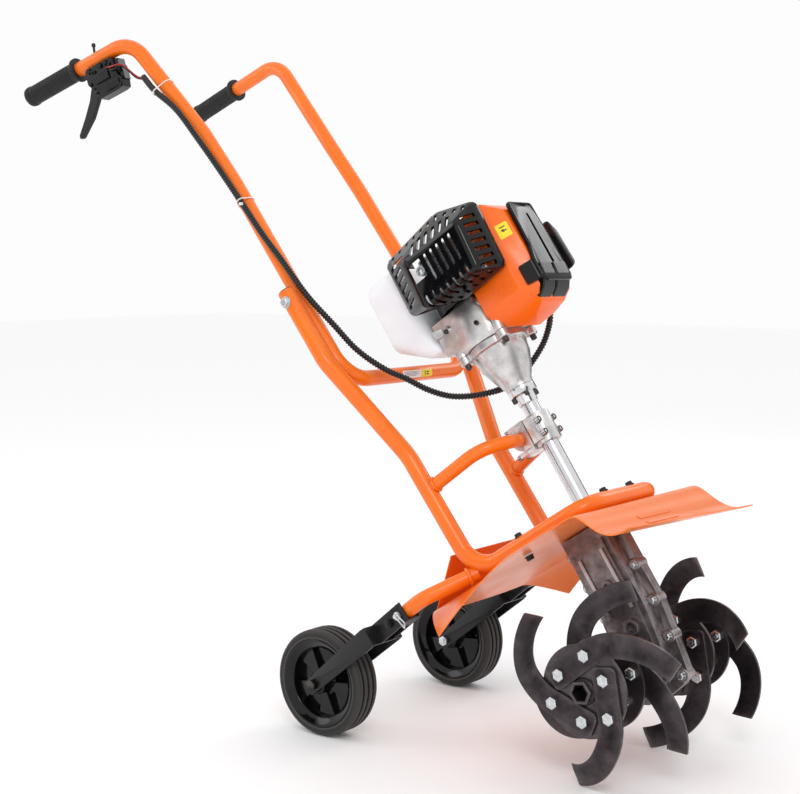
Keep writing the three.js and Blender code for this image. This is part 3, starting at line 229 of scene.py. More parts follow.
# nylon cable tie and PVC wire
tieWhite = surface("nylonTie", {
    "colour": "#E4E1DA", "second": "#D6D2CA", "rough": (0.3, 0.4), "milk": 0.2, "grain": 0.8, "patch": 8})
wireRed = surface("pvcWireRed", {
    "colour": "#B01C16", "second": "#98150F", "rough": (0.3, 0.4), "grain": 0.8, "height": 0.02, "patch": 8})
bronzeTurned = surface("turnedBronze", {
    "colour": "#A9813F", "second": "#8A6730", "rough": (0.25, 0.4), "metal": 1, "grain": 0.5,
    "height": 0.02, "patch": 8})
print("materials ready")


# mesh helpers
def addPiece(name, shape, space, material, body, bevel=0, segments=2, smooth=34, keep=False):
    verts, faces = shape
    mesh = bpy.data.meshes.new(name)
    mesh.from_pydata([space @ Vector(v) for v in verts], [], faces)
    work = bmesh.new()
    work.from_mesh(mesh)
    bmesh.ops.remove_doubles(work, verts=work.verts, dist=2e-6)
    bmesh.ops.recalc_face_normals(work, faces=work.faces)
    work.to_mesh(mesh)
    work.free()
    piece = bpy.data.objects.new(name, mesh)
    bpy.context.scene.collection.objects.link(piece)
    mesh.materials.append(material)
    mesh.shade_smooth()
    mesh.set_sharp_from_angle(angle=math.radians(smooth))
    if bevel:
        softenEdges(piece, bevel, segments)
    if not keep:
        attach(piece, body)
    return piece


def softenEdges(piece, bevel, segments=2, limit=32):
    edge = piece.modifiers.new("softEdges", "BEVEL")
    edge.width = bevel / 1000
    edge.segments = segments
    edge.limit_method = "ANGLE"
    edge.angle_limit = math.radians(limit)
    edge.harden_normals = True
    edge.use_clamp_overlap = True


def dress(node, material, bevel=0, smooth=34, segments=3):
    # a carried-over CAD node gets its finish, flat faces joined and its edges softened
    piece = frame["nodes"][node]
    piece.data.materials.clear()
    piece.data.materials.append(material)
    seam = piece.modifiers.new("joinCorners", "WELD")
    seam.merge_threshold = 2e-5
    flat = piece.modifiers.new("joinFlats", "DECIMATE")
    flat.decimate_type = "DISSOLVE"
    flat.angle_limit = math.radians(0.6)
    if bevel:
        softenEdges(piece, bevel, segments)
    for polygon in piece.data.polygons:
        polygon.use_smooth = True
    piece.data.set_sharp_from_angle(angle=math.radians(smooth))
    return piece


def carve(piece, *cutters):
    # cuts the closed shapes out of the piece, then removes them
    for cutter in cutters:
        tool = piece.modifiers.new("cut", "BOOLEAN")
        tool.operation = "DIFFERENCE"
        tool.solver = "MANIFOLD"
        tool.object = cutter
    bpy.context.view_layer.update()
    done = bpy.data.meshes.new_from_object(piece.evaluated_get(bpy.context.evaluated_depsgraph_get()))
    piece.modifiers.clear()
    piece.data = done
    for cutter in cutters:
        bpy.data.objects.remove(cutter)
    return piece


def together(*shapes):
    verts = []
    faces = []
    for v, f in shapes:
        start = len(verts)
        verts += v
        faces += [[i + start for i in face] for face in f]
    return verts, faces


def moved(shape, matrix):
    return [matrix @ Vector(v) for v in shape[0]], shape[1]


def bentPath(points, bends, steps=9):
    corners = [Vector(p) for p in points]
    path = [corners[0]]
    for i in range(1, len(corners) - 1):
        back = corners[i - 1] - corners[i]
        ahead = corners[i + 1] - corners[i]
        reach = min(back.length, ahead.length) * 0.49
        half = back.angle(ahead) / 2
        trim = min(bends[i - 1] / math.tan(half), reach)
        bend = trim * math.tan(half)
        back.normalize()
        ahead.normalize()
        centre = corners[i] + (back + ahead).normalized() * (bend / math.sin(half))
        first = corners[i] + back * trim - centre
        spin = first.cross(corners[i] - centre).normalized()
        sweepAngle = math.pi - 2 * half
        for k in range(steps + 1):
            path.append(centre + Quaternion(spin, sweepAngle * k / steps) @ first)
    path.append(corners[-1])
    return path


def smoothPath(points, count):
    # centripetal curve through the points, evenly spaced
    p = [Vector(q) for q in points]
    p = [2 * p[0] - p[1]] + p + [2 * p[-1] - p[-2]]
    fine = []
    for i in range(1, len(p) - 2):
        t = [0]
        for k in range(3):
            t.append(t[-1] + max((p[i + k] - p[i - 1 + k]).length, 1e-6) ** 0.5)
        for k in range(24):
            u = t[1] + (t[2] - t[1]) * k / 24
            a = [p[i - 1 + m].lerp(p[i + m], (u - t[m]) / (t[m + 1] - t[m])) for m in range(3)]
            b = [a[m].lerp(a[m + 1], (u - t[m]) / (t[m + 2] - t[m])) for m in range(2)]
            fine.append(b[0].lerp(b[1], (u - t[1]) / (t[2] - t[1])))
    fine.append(p[-2])
    lengths = [0]
    for a, b in zip(fine, fine[1:]):
        lengths.append(lengths[-1] + (b - a).length)
    out = []
    k = 0
    for n in range(count + 1):
        at = lengths[-1] * n / count
        while k < len(fine) - 2 and lengths[k + 1] < at:
            k += 1
        out.append(fine[k].lerp(fine[k + 1], (at - lengths[k]) / max(lengths[k + 1] - lengths[k], 1e-9)))
    return out, lengths[-1]


def sweep(path, radii, sides=None):
    # round bar along a path, one radius for all of it or one for each point
    sides = sides or general["tubeSides"]
    if not hasattr(radii, "__len__"):
        radii = [radii] * len(path)
    verts = []
    faces = []
    before = None
    for i, point in enumerate(path):
        tangent = (path[min(i + 1, len(path) - 1)] - path[max(i - 1, 0)]).normalized()
        if before is None:
            across = tangent.orthogonal().normalized()
        else:
            across = (before.rotation_difference(tangent) @ across).normalized()
        before = tangent
        over = tangent.cross(across)
        for k in range(sides):
            t = 2 * math.pi * k / sides
            verts.append(point + (across * math.cos(t) + over * math.sin(t)) * radii[i])
        if i:
            low = (i - 1) * sides
            for k in range(sides):
                n = (k + 1) % sides
                faces.append([low + k, low + n, low + sides + n, low + sides + k])
    faces.append(list(range(sides))[::-1])
    faces.append([len(verts) - sides + k for k in range(sides)])
    return verts, faces


def tube(a, b, radius, sides=32):
    return sweep([Vector(a), Vector(b)], radius, sides)


def turned(profile, sides=64, axis="x"):
    # closed profile of (radius, position) pairs about an axis
    verts = []
    rows = []
    for r, x in profile:
        if r < 1e-6:
            rows.append([len(verts)] * sides)
            verts.append((0, 0, x))
        else:
            rows.append([len(verts) + k for k in range(sides)])
            verts += [(r * math.cos(2 * math.pi * k / sides), r * math.sin(2 * math.pi * k / sides), x)
                      for k in range(sides)]
    faces = []
    for a, b in zip(rows, rows[1:]):
        for k in range(sides):
            n = (k + 1) % sides
            face = list(dict.fromkeys([a[k], a[n], b[n], b[k]]))
            if len(face) > 2:
                faces.append(face)
    if axis == "x":
        verts = [(z, x, y) for x, y, z in verts]
    elif axis == "y":
        verts = [(y, z, x) for x, y, z in verts]
    return verts, faces


def prism(outline, low, high, axis="z"):
    n = len(outline)
    verts = []
    for w in (low, high):
        verts += [{"x": (w, u, v), "y": (u, w, v), "z": (u, v, w)}[axis] for u, v in outline]
    faces = [list(range(n))[::-1], list(range(n, 2 * n))]
    faces += [[k, (k + 1) % n, n + (k + 1) % n, n + k] for k in range(n)]
    return verts, faces


def stacked(layers):
    # closed skin over a row of outlines with equal point counts
    n = len(layers[0])
    verts = [p for layer in layers for p in layer]
    faces = [list(range(n))[::-1], [len(verts) - n + k for k in range(n)]]
    for i in range(len(layers) - 1):
        faces += [[n * i + k, n * i + (k + 1) % n, n * (i + 1) + (k + 1) % n, n * (i + 1) + k]
                  for k in range(n)]
    return verts, faces


def rounded(outline, radius, steps=4):
    out = []
    n = len(outline)
    for i in range(n):
        p = Vector(outline[i])
        a = Vector(outline[i - 1]) - p
        b = Vector(outline[(i + 1) % n]) - p
        half = a.angle(b) / 2
        trim = min(radius / math.tan(half), 0.45 * a.length, 0.45 * b.length)
        start = p + a.normalized() * trim
        end = p + b.normalized() * trim
        for k in range(steps + 1):
            t = k / steps
            out.append(tuple(start * (1 - t) ** 2 + p * 2 * t * (1 - t) + end * t ** 2))
    return out


def block(x0, x1, y0, y1, z0, z1):
    return prism([(x0, y0), (x1, y0), (x1, y1), (x0, y1)], z0, z1)


def hullOf(points):
    work = bmesh.new()
    for p in points:
        work.verts.new(p)
    bmesh.ops.convex_hull(work, input=work.verts)
    loose = [v for v in work.verts if not v.link_faces]
    bmesh.ops.delete(work, geom=loose, context="VERTS")
    work.verts.index_update()
    shape = [tuple(v.co) for v in work.verts], [[v.index for v in f.verts] for f in work.faces]
    work.free()
    return shape


def towards(at, direction):
    # matrix that sets a shape drawn along +x at a point, pointing the given way
    turn = Vector((1, 0, 0)).rotation_difference(Vector(direction))
    return Matrix.Translation(at) @ turn.to_matrix().to_4x4()


def hexHead(size, height):
    # six flats with the chamfered crown of a forged head
    r = size / math.sqrt(3)
    return turned([(0, 0), (r, 0), (r, height * 0.8), (size / 2 * 0.9, height), (0, height)], 6)


def washer(radius, thick=1.4):
    return turned([(0, 0), (radius, 0), (radius, thick), (0, thick)], 28)


def hexBolt(at, direction, size, height, washerRadius=None):
    base = 0 if washerRadius is None else 1.4
    parts = [moved(hexHead(size, height), Matrix.Translation((base, 0, 0)))]
    if washerRadius:
        parts.append(washer(washerRadius))
    return moved(together(*parts), towards(at, direction))


def socketScrew(at, direction, radius, height):
    # cap screw with its hexagon recess
    cup = radius * 0.55
    head = turned([(0, 0), (radius, 0), (radius, height * 0.9), (radius * 0.92, height), (cup, height),
                   (cup, height * 0.45), (0, height * 0.45)], 18)
    return moved(head, towards(at, direction))


# handlebar
handle = {
    "legY": 165, "gripY": 214, "gripHeight": 1074, "foot": (31, 582), "kneeX": -215, "kneeZ": 903,
    "bends": [62, 160, 400, 50, 50, 400, 160, 62], "boltZ": 706,
}
handleSide = [
    (-684, handle["gripY"], handle["gripHeight"]),
    (-442, handle["gripY"] - 24, handle["gripHeight"] + 84),
    (-288, handle["legY"] + 1, 990),
    (handle["kneeX"], handle["legY"], handle["kneeZ"]),
    (handle["foot"][0], handle["legY"], handle["foot"][1]),
]


def mirrored(point):
    return (point[0], -point[1], point[2])


def bothSides(points):
    return [tuple(p) for p in points] + [mirrored(p) for p in reversed(points)]


def handleAt(height):
    t = (height - handle["kneeZ"]) / (handle["foot"][1] - handle["kneeZ"])
    return handle["kneeX"] + t * (handle["foot"][0] - handle["kneeX"])


handlePath = bentPath(bothSides(handleSide), handle["bends"], 14)
bar = addPiece("handlebarTube", sweep(handlePath, general["handleTube"] / 2),
               machineSpace, powderOrange, "frame")
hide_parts("handlebar")

# main frame
loop = {
    "topZ": 722, "kneeZ": 612, "bends": [60, 80, 52, 38, 38, 52, 80, 60],
    "clampS": -26, "archFoot": (160, 119, 410), "archBends": [60, 30, 30, 60], "gap": 0.3,
    "armTop": 250, "armEnd": 173, "armRoot": (116, -158),
}
frameTopY = handle["legY"] + (general["handleTube"] + general["frameTube"]) / 2 + loop["gap"]
tubeLine = general["plateTop"] - general["frameTube"] / 2 - loop["gap"]
loopSide = [
    (handleAt(loop["topZ"]), frameTopY, loop["topZ"]),
    (handleAt(loop["kneeZ"]), frameTopY, loop["kneeZ"]),
    (121, 122, 462),
    tuple(fromShaft(tubeLine, 118, -160)),
    tuple(fromShaft(tubeLine, 103, 66)),
]
crossB = -(general["shaftTube"] / 2 + 8 + general["archTube"] / 2)
archRun = fromShaft(loop["clampS"], 0, crossB)
archSide = [loop["archFoot"], (archRun.x - 28, 100, archRun.z - 12), (archRun.x, 62, archRun.z)]


def alongArm(d, side):
    # spot on the wheel arm's line, measured from the wheel's axle
    t = math.radians(general["bracketAngle"])
    return d * math.cos(t), side * general["wheelTrack"] / 2, general["wheelRadius"] + d * math.sin(t)


def armRoot(side):
    return fromShaft(tubeLine - 1, side * loop["armRoot"][0], loop["armRoot"][1])


loopPath = bentPath(bothSides(loopSide), loop["bends"], 12)
framePieces = [
    sweep(loopPath, general["frameTube"] / 2),
    sweep(bentPath(bothSides(archSide), loop["archBends"], 10), general["archTube"] / 2),
]
for side in (-1, 1):
    armSpots = [armRoot(side), alongArm(loop["armTop"], side), alongArm(loop["armEnd"], side)]
    framePieces.append(sweep(bentPath(armSpots, [45], 10), general["armTube"] / 2))
frameBar = addPiece("frameLoop", together(*framePieces), machineSpace, powderOrange, "frame")
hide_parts("main_frame")


def weldBead(centre, axis, radius, bead):
    # overlapping puddles in a ring
    count = int(2 * math.pi * radius / (bead * 0.9))
    axis = Vector(axis).normalized()
    across = axis.orthogonal().normalized()
    path = []
    radii = []
    for k in range(count * 3 + 1):
        spin = Quaternion(axis, 2 * math.pi * k / (count * 3))
        path.append(Vector(centre) + spin @ across * radius)
        radii.append(bead * (0.62 if k % 3 else 0.5))
    return sweep(path, radii, 10)


beads = []
for side in (-1, 1):
    root = Vector((loop["archFoot"][0], side * loop["archFoot"][1], loop["archFoot"][2]))
    ahead = (Vector((archRun.x - 28, side * 100, archRun.z - 12)) - root).normalized()
    beads.append(weldBead(root + ahead * 16, ahead, general["archTube"] / 2 + 0.6, 4))
    elbow = armRoot(side)
    ahead = (Vector(alongArm(loop["armTop"], side)) - elbow).normalized()
    beads.append(weldBead(elbow + ahead * 15, ahead, general["armTube"] / 2 + 0.8, 4.5))
welds = addPiece("weldBeads", together(*beads), machineSpace, powderOrange, "frame")

# open tube ends: black plugs with a small lip
plugs = []
down = (Vector(loopSide[1]) - Vector(loopSide[0])).normalized()
for side in (-1, 1):
    top = Vector((loopSide[0][0], side * frameTopY, loopSide[0][2]))
    way = Vector((down.x, 0, down.z))
    plugs.append(moved(turned([(0, -3.2), (8, -3), (12.6, -1.8), (13.8, 0.4), (13.8, 1.6), (0, 1.6)], 32),
                       towards(top, way)))
addPiece("tubeEndPlugs", together(*plugs), machineSpace, satinBlack, "frame")

bolts = []
for side in (-1, 1):
    x = handleAt(handle["boltZ"])
    z = handle["boltZ"]
    outer = frameTopY + general["frameTube"] / 2
    innerY = handle["legY"] - general["handleTube"] / 2
    bolts.append(hexBolt((x, side * outer, z), (0, side, 0), 13, 6, 10))
    bolts.append(hexBolt((x, side * innerY, z), (0, -side, 0), 13, 8, 10))
handleBolts = addPiece("handlebarBolts", together(*bolts), machineSpace, zincPlate, "frame", 0.4)
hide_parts("handlebar_bolt_right", "handlebar_bolt_left")
print("tubes ready")

# printed sticker on the cross run
sticker = {"from": -36, "to": 45, "split": 14, "low": -24, "high": 34, "thick": 0.25}


def wrapPatch(y0, y1, low, high, radius, thick):
    verts = []
    faces = []
    foot = handle["foot"]
    for r in (radius, radius + thick):
        for k in range(9):
            t = math.radians(low + (high - low) * k / 8)
            for y in (y0, y1):
                verts.append((foot[0] + r * math.cos(t), y, foot[1] + r * math.sin(t)))
    for k in range(8):
        a = 2 * k
        faces += [[a, a + 1, a + 3, a + 2], [a + 18, a + 20, a + 21, a + 19], [a, a + 2, a + 20, a + 18],
                  [a + 1, a + 19, a + 21, a + 3]]
    faces += [[0, 18, 19, 1], [16, 17, 35, 34]]
    return verts, faces


skin = general["handleTube"] / 2 + 0.1
for name, y0, y1, film in (("White", sticker["from"], sticker["split"], labelWhite),
                           ("Yellow", sticker["split"], sticker["to"], labelYellow)):
    patch = wrapPatch(y0, y1, sticker["low"], sticker["high"], skin, sticker["thick"])
    addPiece(f"sticker{name}", patch, machineSpace, film, "frame")
lines = [wrapPatch(-32, 8 - 7 * (k % 2), 20 - 9 * k, 23 - 9 * k, skin + 0.26, 0.05) for k in range(4)]
lines += [wrapPatch(24, 26, -12, 24, skin + 0.26, 0.05), wrapPatch(29, 35, -8, 2, skin + 0.26, 0.05),
          wrapPatch(29, 35, 10, 20, skin + 0.26, 0.05)]
addPiece("stickerPrint", together(*lines), machineSpace, labelInk, "frame")

# grips
grip = {"length": 132, "radius": 16.2, "rib": 1.1, "flange": 22, "ribs": 17, "bore": 13.4}
for side, hand in ((-1, "right"), (1, "left")):
    tip = Vector((handleSide[0][0], side * handleSide[0][1], handleSide[0][2]))
    apex = Vector((handleSide[1][0], side * handleSide[1][1], handleSide[1][2]))
    run = (apex - tip).normalized()
    profile = [(0, -4), (15.5, -4), (17.6, -2.4), (18.4, 1), (18.4, 6), (17, 8)]
    step = (grip["length"] - 34) / grip["ribs"]
    crest = grip["radius"] + grip["rib"]
    for k in range(grip["ribs"]):
        x = 12 + step * k
        profile += [(grip["radius"], x), (crest, x + step * 0.25), (crest, x + step * 0.65),
                    (grip["radius"], x + step * 0.9)]
    end = grip["length"] - 4
    profile += [(16.6, end - 14), (17.4, end - 8), (grip["flange"], end - 5), (grip["flange"], end - 1),
                (20.5, end), (grip["bore"], end), (grip["bore"], end - 4), (grip["bore"], 2), (0, 2)]
    piece = addPiece(f"gripSleeve{hand.capitalize()}", moved(turned(profile, 48), towards(tip, run)),
                     machineSpace, rubberBlack, "frame", smooth=50)
    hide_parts(f"grip_{hand}")

# throttle
right0 = Vector(mirrored(handleSide[0]))
right1 = Vector(mirrored(handleSide[1]))
barRun = (right1 - right0).normalized()
barUp = (Vector((0, 0, 1)) - barRun * barRun.z).normalized()
barSide = barUp.cross(barRun)
throttle = {"along": 162, "front": -13.9, "back": 15, "top": -13.2, "foot": -74, "ears": (-3, 25, 38)}
origin = machineSpace @ (right0 + barRun * throttle["along"])
controlSpace = axesSpace(origin, barRun, barSide, barUp)
near = throttle["front"]
far = throttle["back"]
upperBody = [(-13, -16), (-9, throttle["top"]), (50, throttle["top"]), (56, -20),
             (58, -52), (-6, -52), (-14, -40)]
lowerBody = [(2, -50), (60, -50), (65, -56), (62, -72), (52, throttle["foot"]), (4, throttle["foot"])]
housingParts = [
    hullOf([(x, y, z) for y in (near, far) for x, z in upperBody]),
    hullOf([(x, y, z) for y in (near, far - 6) for x, z in lowerBody]),
    block(54, 64, near + 3, far - 6, -46, -20), block(60, 68, near + 5, far - 8, -60, -34),
    block(8, 40, near - 3.5, near + 4, -48, -29.4), block(24, 58, near - 2.7, near + 4, -68, -55),
]
for x in throttle["ears"]:
    # rounded clamp ears along the upper edge, clear of the stop switch's travel
    housingParts.append(tube((x, near - 3.6, -19), (x, far, -19), 5, 24))
throttleBody = addPiece("throttleBody", together(*housingParts), controlSpace, glossBlack, "frame", 1, 2)
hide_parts("throttle_housing")
addPiece("chokeStem", together(
    tube((12, -4, 10), (14.6, -4, 24), 2.2, 20), tube((14.2, -4, 22), (15.4, -4, 28), 3.6, 20)),
    controlSpace, satinBlack, "frame", 0.8)
dress("stop_switch", glossBlack, 0.5)
leverOutline = rounded([(-15, -34), (-2, -33), (4, -46), (-5, -67), (-31, -95), (-66, -119), (-74, -118),
                        (-73, -111), (-50, -88), (-29, -64), (-17, -44)], 5)
lever = addPiece("throttleLever", together(
    prism(leverOutline, -4.2, 4.2, "y"), tube((-7, -17.5, -42), (-7, 15.5, -42), 2.4)),
    controlSpace, satinBlack, "throttle", 1.4)
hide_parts("throttle_lever")
screws = together(*[socketScrew((x, near - 0.8, z), (0, -1, 0), r, 1.8) for x, z, r in (
    (2, -62, 3.4), (-7, -42, 3.6), (46, -24, 3), (58, -68, 2.8))])
addPiece("throttleScrews", screws, controlSpace, blackOxide, "frame")

# conduit, ties and wires; a real hose has a 2.5 mm pitch, drawn coarser so it shows
conduit = {"size": 11, "pitch": 5, "depth": 1.6, "ties": (0.045, 0.3), "wire": 1.3, "plugWire": 1.4}


def legPoint(height, side, forward):
    return (handleAt(height) + forward, -(handle["legY"] + side), height)


legGap = general["handleTube"] / 2 + conduit["size"] / 2 + 1
toMachine = machineSpace.inverted() @ controlSpace
route = [
    (-408, -192, 1092), (-375, -197, 1066), (-326, -195, 1032), (-279, -(handle["legY"] + legGap + 5), 980),
    legPoint(923, legGap + 2, 2), legPoint(871, legGap, 7), legPoint(820, legGap - 1, 12),
    legPoint(774, 16, 20), legPoint(716, 13, 29), legPoint(670, -5, 34),
    (26, -135, 629), (64, -108, 597), (88, -85, 582),
    (115, -62, 564), (143, -42, 554), (172, -22, 554), fromShaft(-122, 0, -44), fromShaft(-127, 30, -40),
    fromShaft(-133, 47, -12), fromShaft(-142, 54, 14), fromShaft(-160, 62, 46), fromShaft(-184, 60, 76),
    fromShaft(-201, 57, 86),
]
hoseLength = smoothPath(route, 10)[1]
rings = int(hoseLength / conduit["pitch"]) * 4
hosePath = smoothPath(route, rings)[0]
hoseRadii = [conduit["size"] / 2 - conduit["depth"] * (0, 0.25, 1, 0.25)[k % 4] for k in range(rings + 1)]
hose = addPiece("corrugatedConduit", sweep(hosePath, hoseRadii, 16), machineSpace, hoseBlack,
                "frame", smooth=60)
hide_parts("control_conduit")
handleLine = bentPath([mirrored(p) for p in handleSide], handle["bends"][:3], 14)
handleCore = [a.lerp(b, k / 12) for a, b in zip(handleLine, handleLine[1:]) for k in range(12)]


def tieAround(k):
    # strap drawn tight round tube and hose, with its locking head
    here = hosePath[k]
    tangent = (hosePath[k + 2] - hosePath[k - 2]).normalized()
    core = min(handleCore, key=lambda p: (p - here).length)
    axis = here - core
    axis -= tangent * axis.dot(tangent)
    reach = axis.length
    axis.normalize()
    over = tangent.cross(axis)
    radii = general["handleTube"] / 2 + 0.9, conduit["size"] / 2 + 0.9
    path = []
    for n in range(73):
        t = 2 * math.pi * n / 72
        way = axis * math.cos(t) + over * math.sin(t)
        onHose = reach * math.cos(t) + radii[1] > radii[0]
        path.append(core + axis * (reach if onHose else 0) + way * radii[onHose])
    head = moved(block(-2.6, 2.6, -2.2, 2.2, -1.5, 3), Matrix.Translation(here + axis * (radii[1] + 0.6)))
    return together(sweep(path, 1.15, 8), head)


ties = together(*[tieAround(int(rings * part)) for part in conduit["ties"]])
addPiece("cableTies", ties, machineSpace, tieWhite, "frame")
hoseMouth = Vector(route[0])
for n, drop in enumerate((0, 3)):
    # from the stop switch into the hose
    wirePath = smoothPath([
        toMachine @ Vector((36, -13, -28 - drop)), toMachine @ Vector((52, -19, -33 - 2 * drop)),
        toMachine @ Vector((74, -17, -38 - drop)), hoseMouth + Vector((-14, -2, 2 - drop)),
        hoseMouth + Vector((8, 0, -4))], 40)[0]
    addPiece(f"stopWire{n + 1}", sweep(wirePath, conduit["wire"], 12), machineSpace,
             satinBlack if n else wireRed, "frame")
for n, shift in enumerate((0, 5)):
    # out of the hose's other end to the coil
    wirePath = smoothPath([
        fromShaft(-196, 57.5, 83), fromShaft(-212, 62 + shift, 96), fromShaft(-232, 66, 110 + shift),
        fromShaft(-250, 60, 124)], 36)[0]
    addPiece(f"engineWire{n + 1}", sweep(wirePath, conduit["plugWire"], 12), machineSpace,
             satinBlack if n else wireRed, "frame")
print("controls ready")

# drive tube and clutch housing
shaft = {"flange": -99.7, "end": 186, "radius": general["shaftTube"] / 2, "bore": 12, "screwCircle": 19}
rimS = shaft["flange"]
tubeProfile = [
    (shaft["bore"], rimS), (24, rimS), (24, rimS + 9), (23, rimS + 11), (17.5, rimS + 12.5),
    (16.5, rimS + 26), (15.6, rimS + 28), (shaft["radius"], rimS + 29),
    (shaft["radius"], shaft["end"]), (shaft["bore"], shaft["end"]), (shaft["bore"], rimS),
]
shaftPiece = addPiece("driveTube", turned(tubeProfile, 56), shaftSpace, groundTube, "frame", smooth=30)
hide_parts("shaft_tube")
collar = together(*[
    moved(block(-8, 8, -5, 5, -21, 0), Matrix.Translation((rimS + 22, 0, 0))
          @ Matrix.Rotation(math.radians(t), 4, "X")) for t in (60, 240)])
addPiece("flangeLugs", collar, shaftSpace, castAlloy, "frame", 1.5)
caps = []
for turn in (45, 135, 225, 315):
    y = shaft["screwCircle"] * math.cos(math.radians(turn))
    b = shaft["screwCircle"] * math.sin(math.radians(turn))
    caps.append(socketScrew((rimS + 11, y, b), (1, 0, 0), 4.2, 8))
addPiece("flangeScrews", together(*caps), shaftSpace, blackOxide, "frame")

housing = {"top": -186, "ears": [(40, 43), (-40, 43), (-40, -43), (40, -43)], "ribs": 8}
top = housing["top"]
shell = [turned([
    (39, top), (51.6, top), (51.6, top + 11), (50, top + 12.6), (46, top + 13.5), (43.5, -152), (33, -126),
    (25.5, -111), (24, -108), (23.5, -100.2), (12, -100.2), (12, -120), (39, -160), (39, top)], 72)]
for k in range(housing["ribs"]):
    rib = hullOf([(top + 10, y, b) for y in (-1.8, 1.8) for b in (40, 49)]
                 + [(-108, y, b) for y in (-1.4, 1.4) for b in (18, 25.4)])
    shell.append(moved(rib, Matrix.Rotation(math.radians(45 * k + 12), 4, "X")))
for y, b in housing["ears"]:
    shell.append(moved(turned([(0, 0), (9.8, 0), (9.8, 12), (8.6, 13.8), (0, 13.8)], 28),
                       Matrix.Translation((top, y, b))))
    shell.append(tube((top, y * 0.8, b * 0.8), (top + 12, y * 0.8, b * 0.8), 11.5, 24))
bell = addPiece("clutchBell", together(*shell), shaftSpace, castAlloy, "frame", 1.0)
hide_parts("clutch_housing")
addPiece("clutchScrews", together(*[
    socketScrew((top + 13.6, y, b), (1, 0, 0), 5, 7.6) for y, b in housing["ears"]]),
    shaftSpace, blackOxide, "frame")
dress("engine_block", castAlloy, 1.6)
print("drive ready")

# crankcase bosses, the first two with a screw
crankcase = {"bosses": [(-214, -56, 20, 7), (-236, -50, -38, 8), (-206, -40, -50, 6), (-244, -44, 38, 7)],
             "screws": 2, "proud": 1.04}
proud = crankcase["proud"]
addPiece("crankcaseBosses", together(*[
    tube((s, y * 0.7, b * 0.7), (s, y * proud, b * proud), r, 24) for s, y, b, r in crankcase["bosses"]]),
    shaftSpace, castAlloy, "frame", 1)
addPiece("crankcaseScrews", together(*[
    socketScrew((s, y * proud, b * proud), (0, y, b), 4, 5)
    for s, y, b, r in crankcase["bosses"][:crankcase["screws"]]]),
    shaftSpace, blackOxide, "frame")

# engine cover, black inset and label
coverNode = frame["nodes"]["cylinder_cover"]
fromCover = shaftSpace.inverted() @ coverNode.matrix_world
cover = addPiece("engineCover", hullOf([fromCover @ v.co for v in coverNode.data.vertices]), shaftSpace,
                 shellOrange, None, keep=True)
flatten = cover.modifiers.new("joinFlats", "DECIMATE")
flatten.decimate_type = "DISSOLVE"
flatten.angle_limit = math.radians(1)
softenEdges(cover, 6, 4, 12)
vents = [hullOf([(s, y, b) for y in (y0, y1) for s, b in ((-181, 57), (-150, 49), (-150, 76), (-172, 76))])
         for y0, y1 in ((-38, -8), (8, 38))]
carve(cover, addPiece("coverVents", together(*vents), shaftSpace, shellOrange, None, keep=True))
cover.data.set_sharp_from_angle(angle=math.radians(34))
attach(cover, "frame")
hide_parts("cylinder_cover")
inset = {"base": 152.4, "top": 160, "grooveDepth": 4}
insetOutline = rounded([(-352, -31), (-268, -36), (-244, -45), (-212, -45), (-205, -34), (-205, 34),
                        (-216, 40), (-352, 36)], 8)
insetPlate = addPiece("coverInset", prism(insetOutline, inset["base"], inset["top"]), shaftSpace,
                      glossBlack, None, keep=True)
softenEdges(insetPlate, 2.4, 3)
groove = rounded([(-330, 3), (-236, 1), (-236, 9), (-330, 9)], 3)
insetSlot = prism(groove, inset["top"] - inset["grooveDepth"], inset["top"] + 5)
carve(insetPlate, addPiece("insetSlot", insetSlot, shaftSpace, glossBlack, None, keep=True))
insetPlate.data.set_sharp_from_angle(angle=math.radians(34))
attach(insetPlate, "frame")
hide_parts("plug_cover")
noseSide = [(-236, 163), (-214, 161), (-197, 148), (-189, 133),
            (-193, 130), (-206, 146), (-218, 152), (-236, 152.6)]
noseWing = [(-36, 161), (-47, 154), (-56, 134), (-52, 130), (-36, 152.4)]
nose = [hullOf([(s, y, b) for y in ends for s, b in noseSide]) for ends in ((-42, -8), (-4, 34))]
nose.append(hullOf([(s, y, b) for s in (-246, -212) for y, b in noseWing]))
addPiece("coverNose", together(*nose), shaftSpace, glossBlack, "frame", 2.6, 3)
capWide = [(40, 158), (62, 140), (64, 112), (56, 108), (40, 150)]
capSmall = [(42, 156), (60, 138), (60, 112), (52, 112), (40, 150)]
capParts = [
    hullOf([(s, y, b) for s in (-318, -262) for y, b in capWide]),
    tube((-290, 62, 128), (-290, 72, 128), 9, 28),
    hullOf([(s, y, b) for s in (-252, -222) for y, b in capSmall]),
]
addPiece("plugCap", together(*capParts), shaftSpace, satinBlack, "frame", 2, 3)
label = {"s": -311, "y": -47, "b": 137.4, "width": 25, "height": 21}
slope = Vector((0, 21, 34)).normalized()  # up the cover's slanted side
slopeOut = Vector((0, -34, 21)).normalized()


def onSlope(u, v, lift):
    return Vector((label["s"], label["y"], label["b"])) + Vector((u, 0, 0)) + slope * v + slopeOut * lift


def slopePatch(outline, lift, thick):
    n = len(outline)
    verts = [onSlope(u, v, lift) for u, v in outline] + [onSlope(u, v, lift + thick) for u, v in outline]
    faces = [list(range(n))[::-1], list(range(n, 2 * n))]
    faces += [[k, (k + 1) % n, n + (k + 1) % n, n + k] for k in range(n)]
    return verts, faces


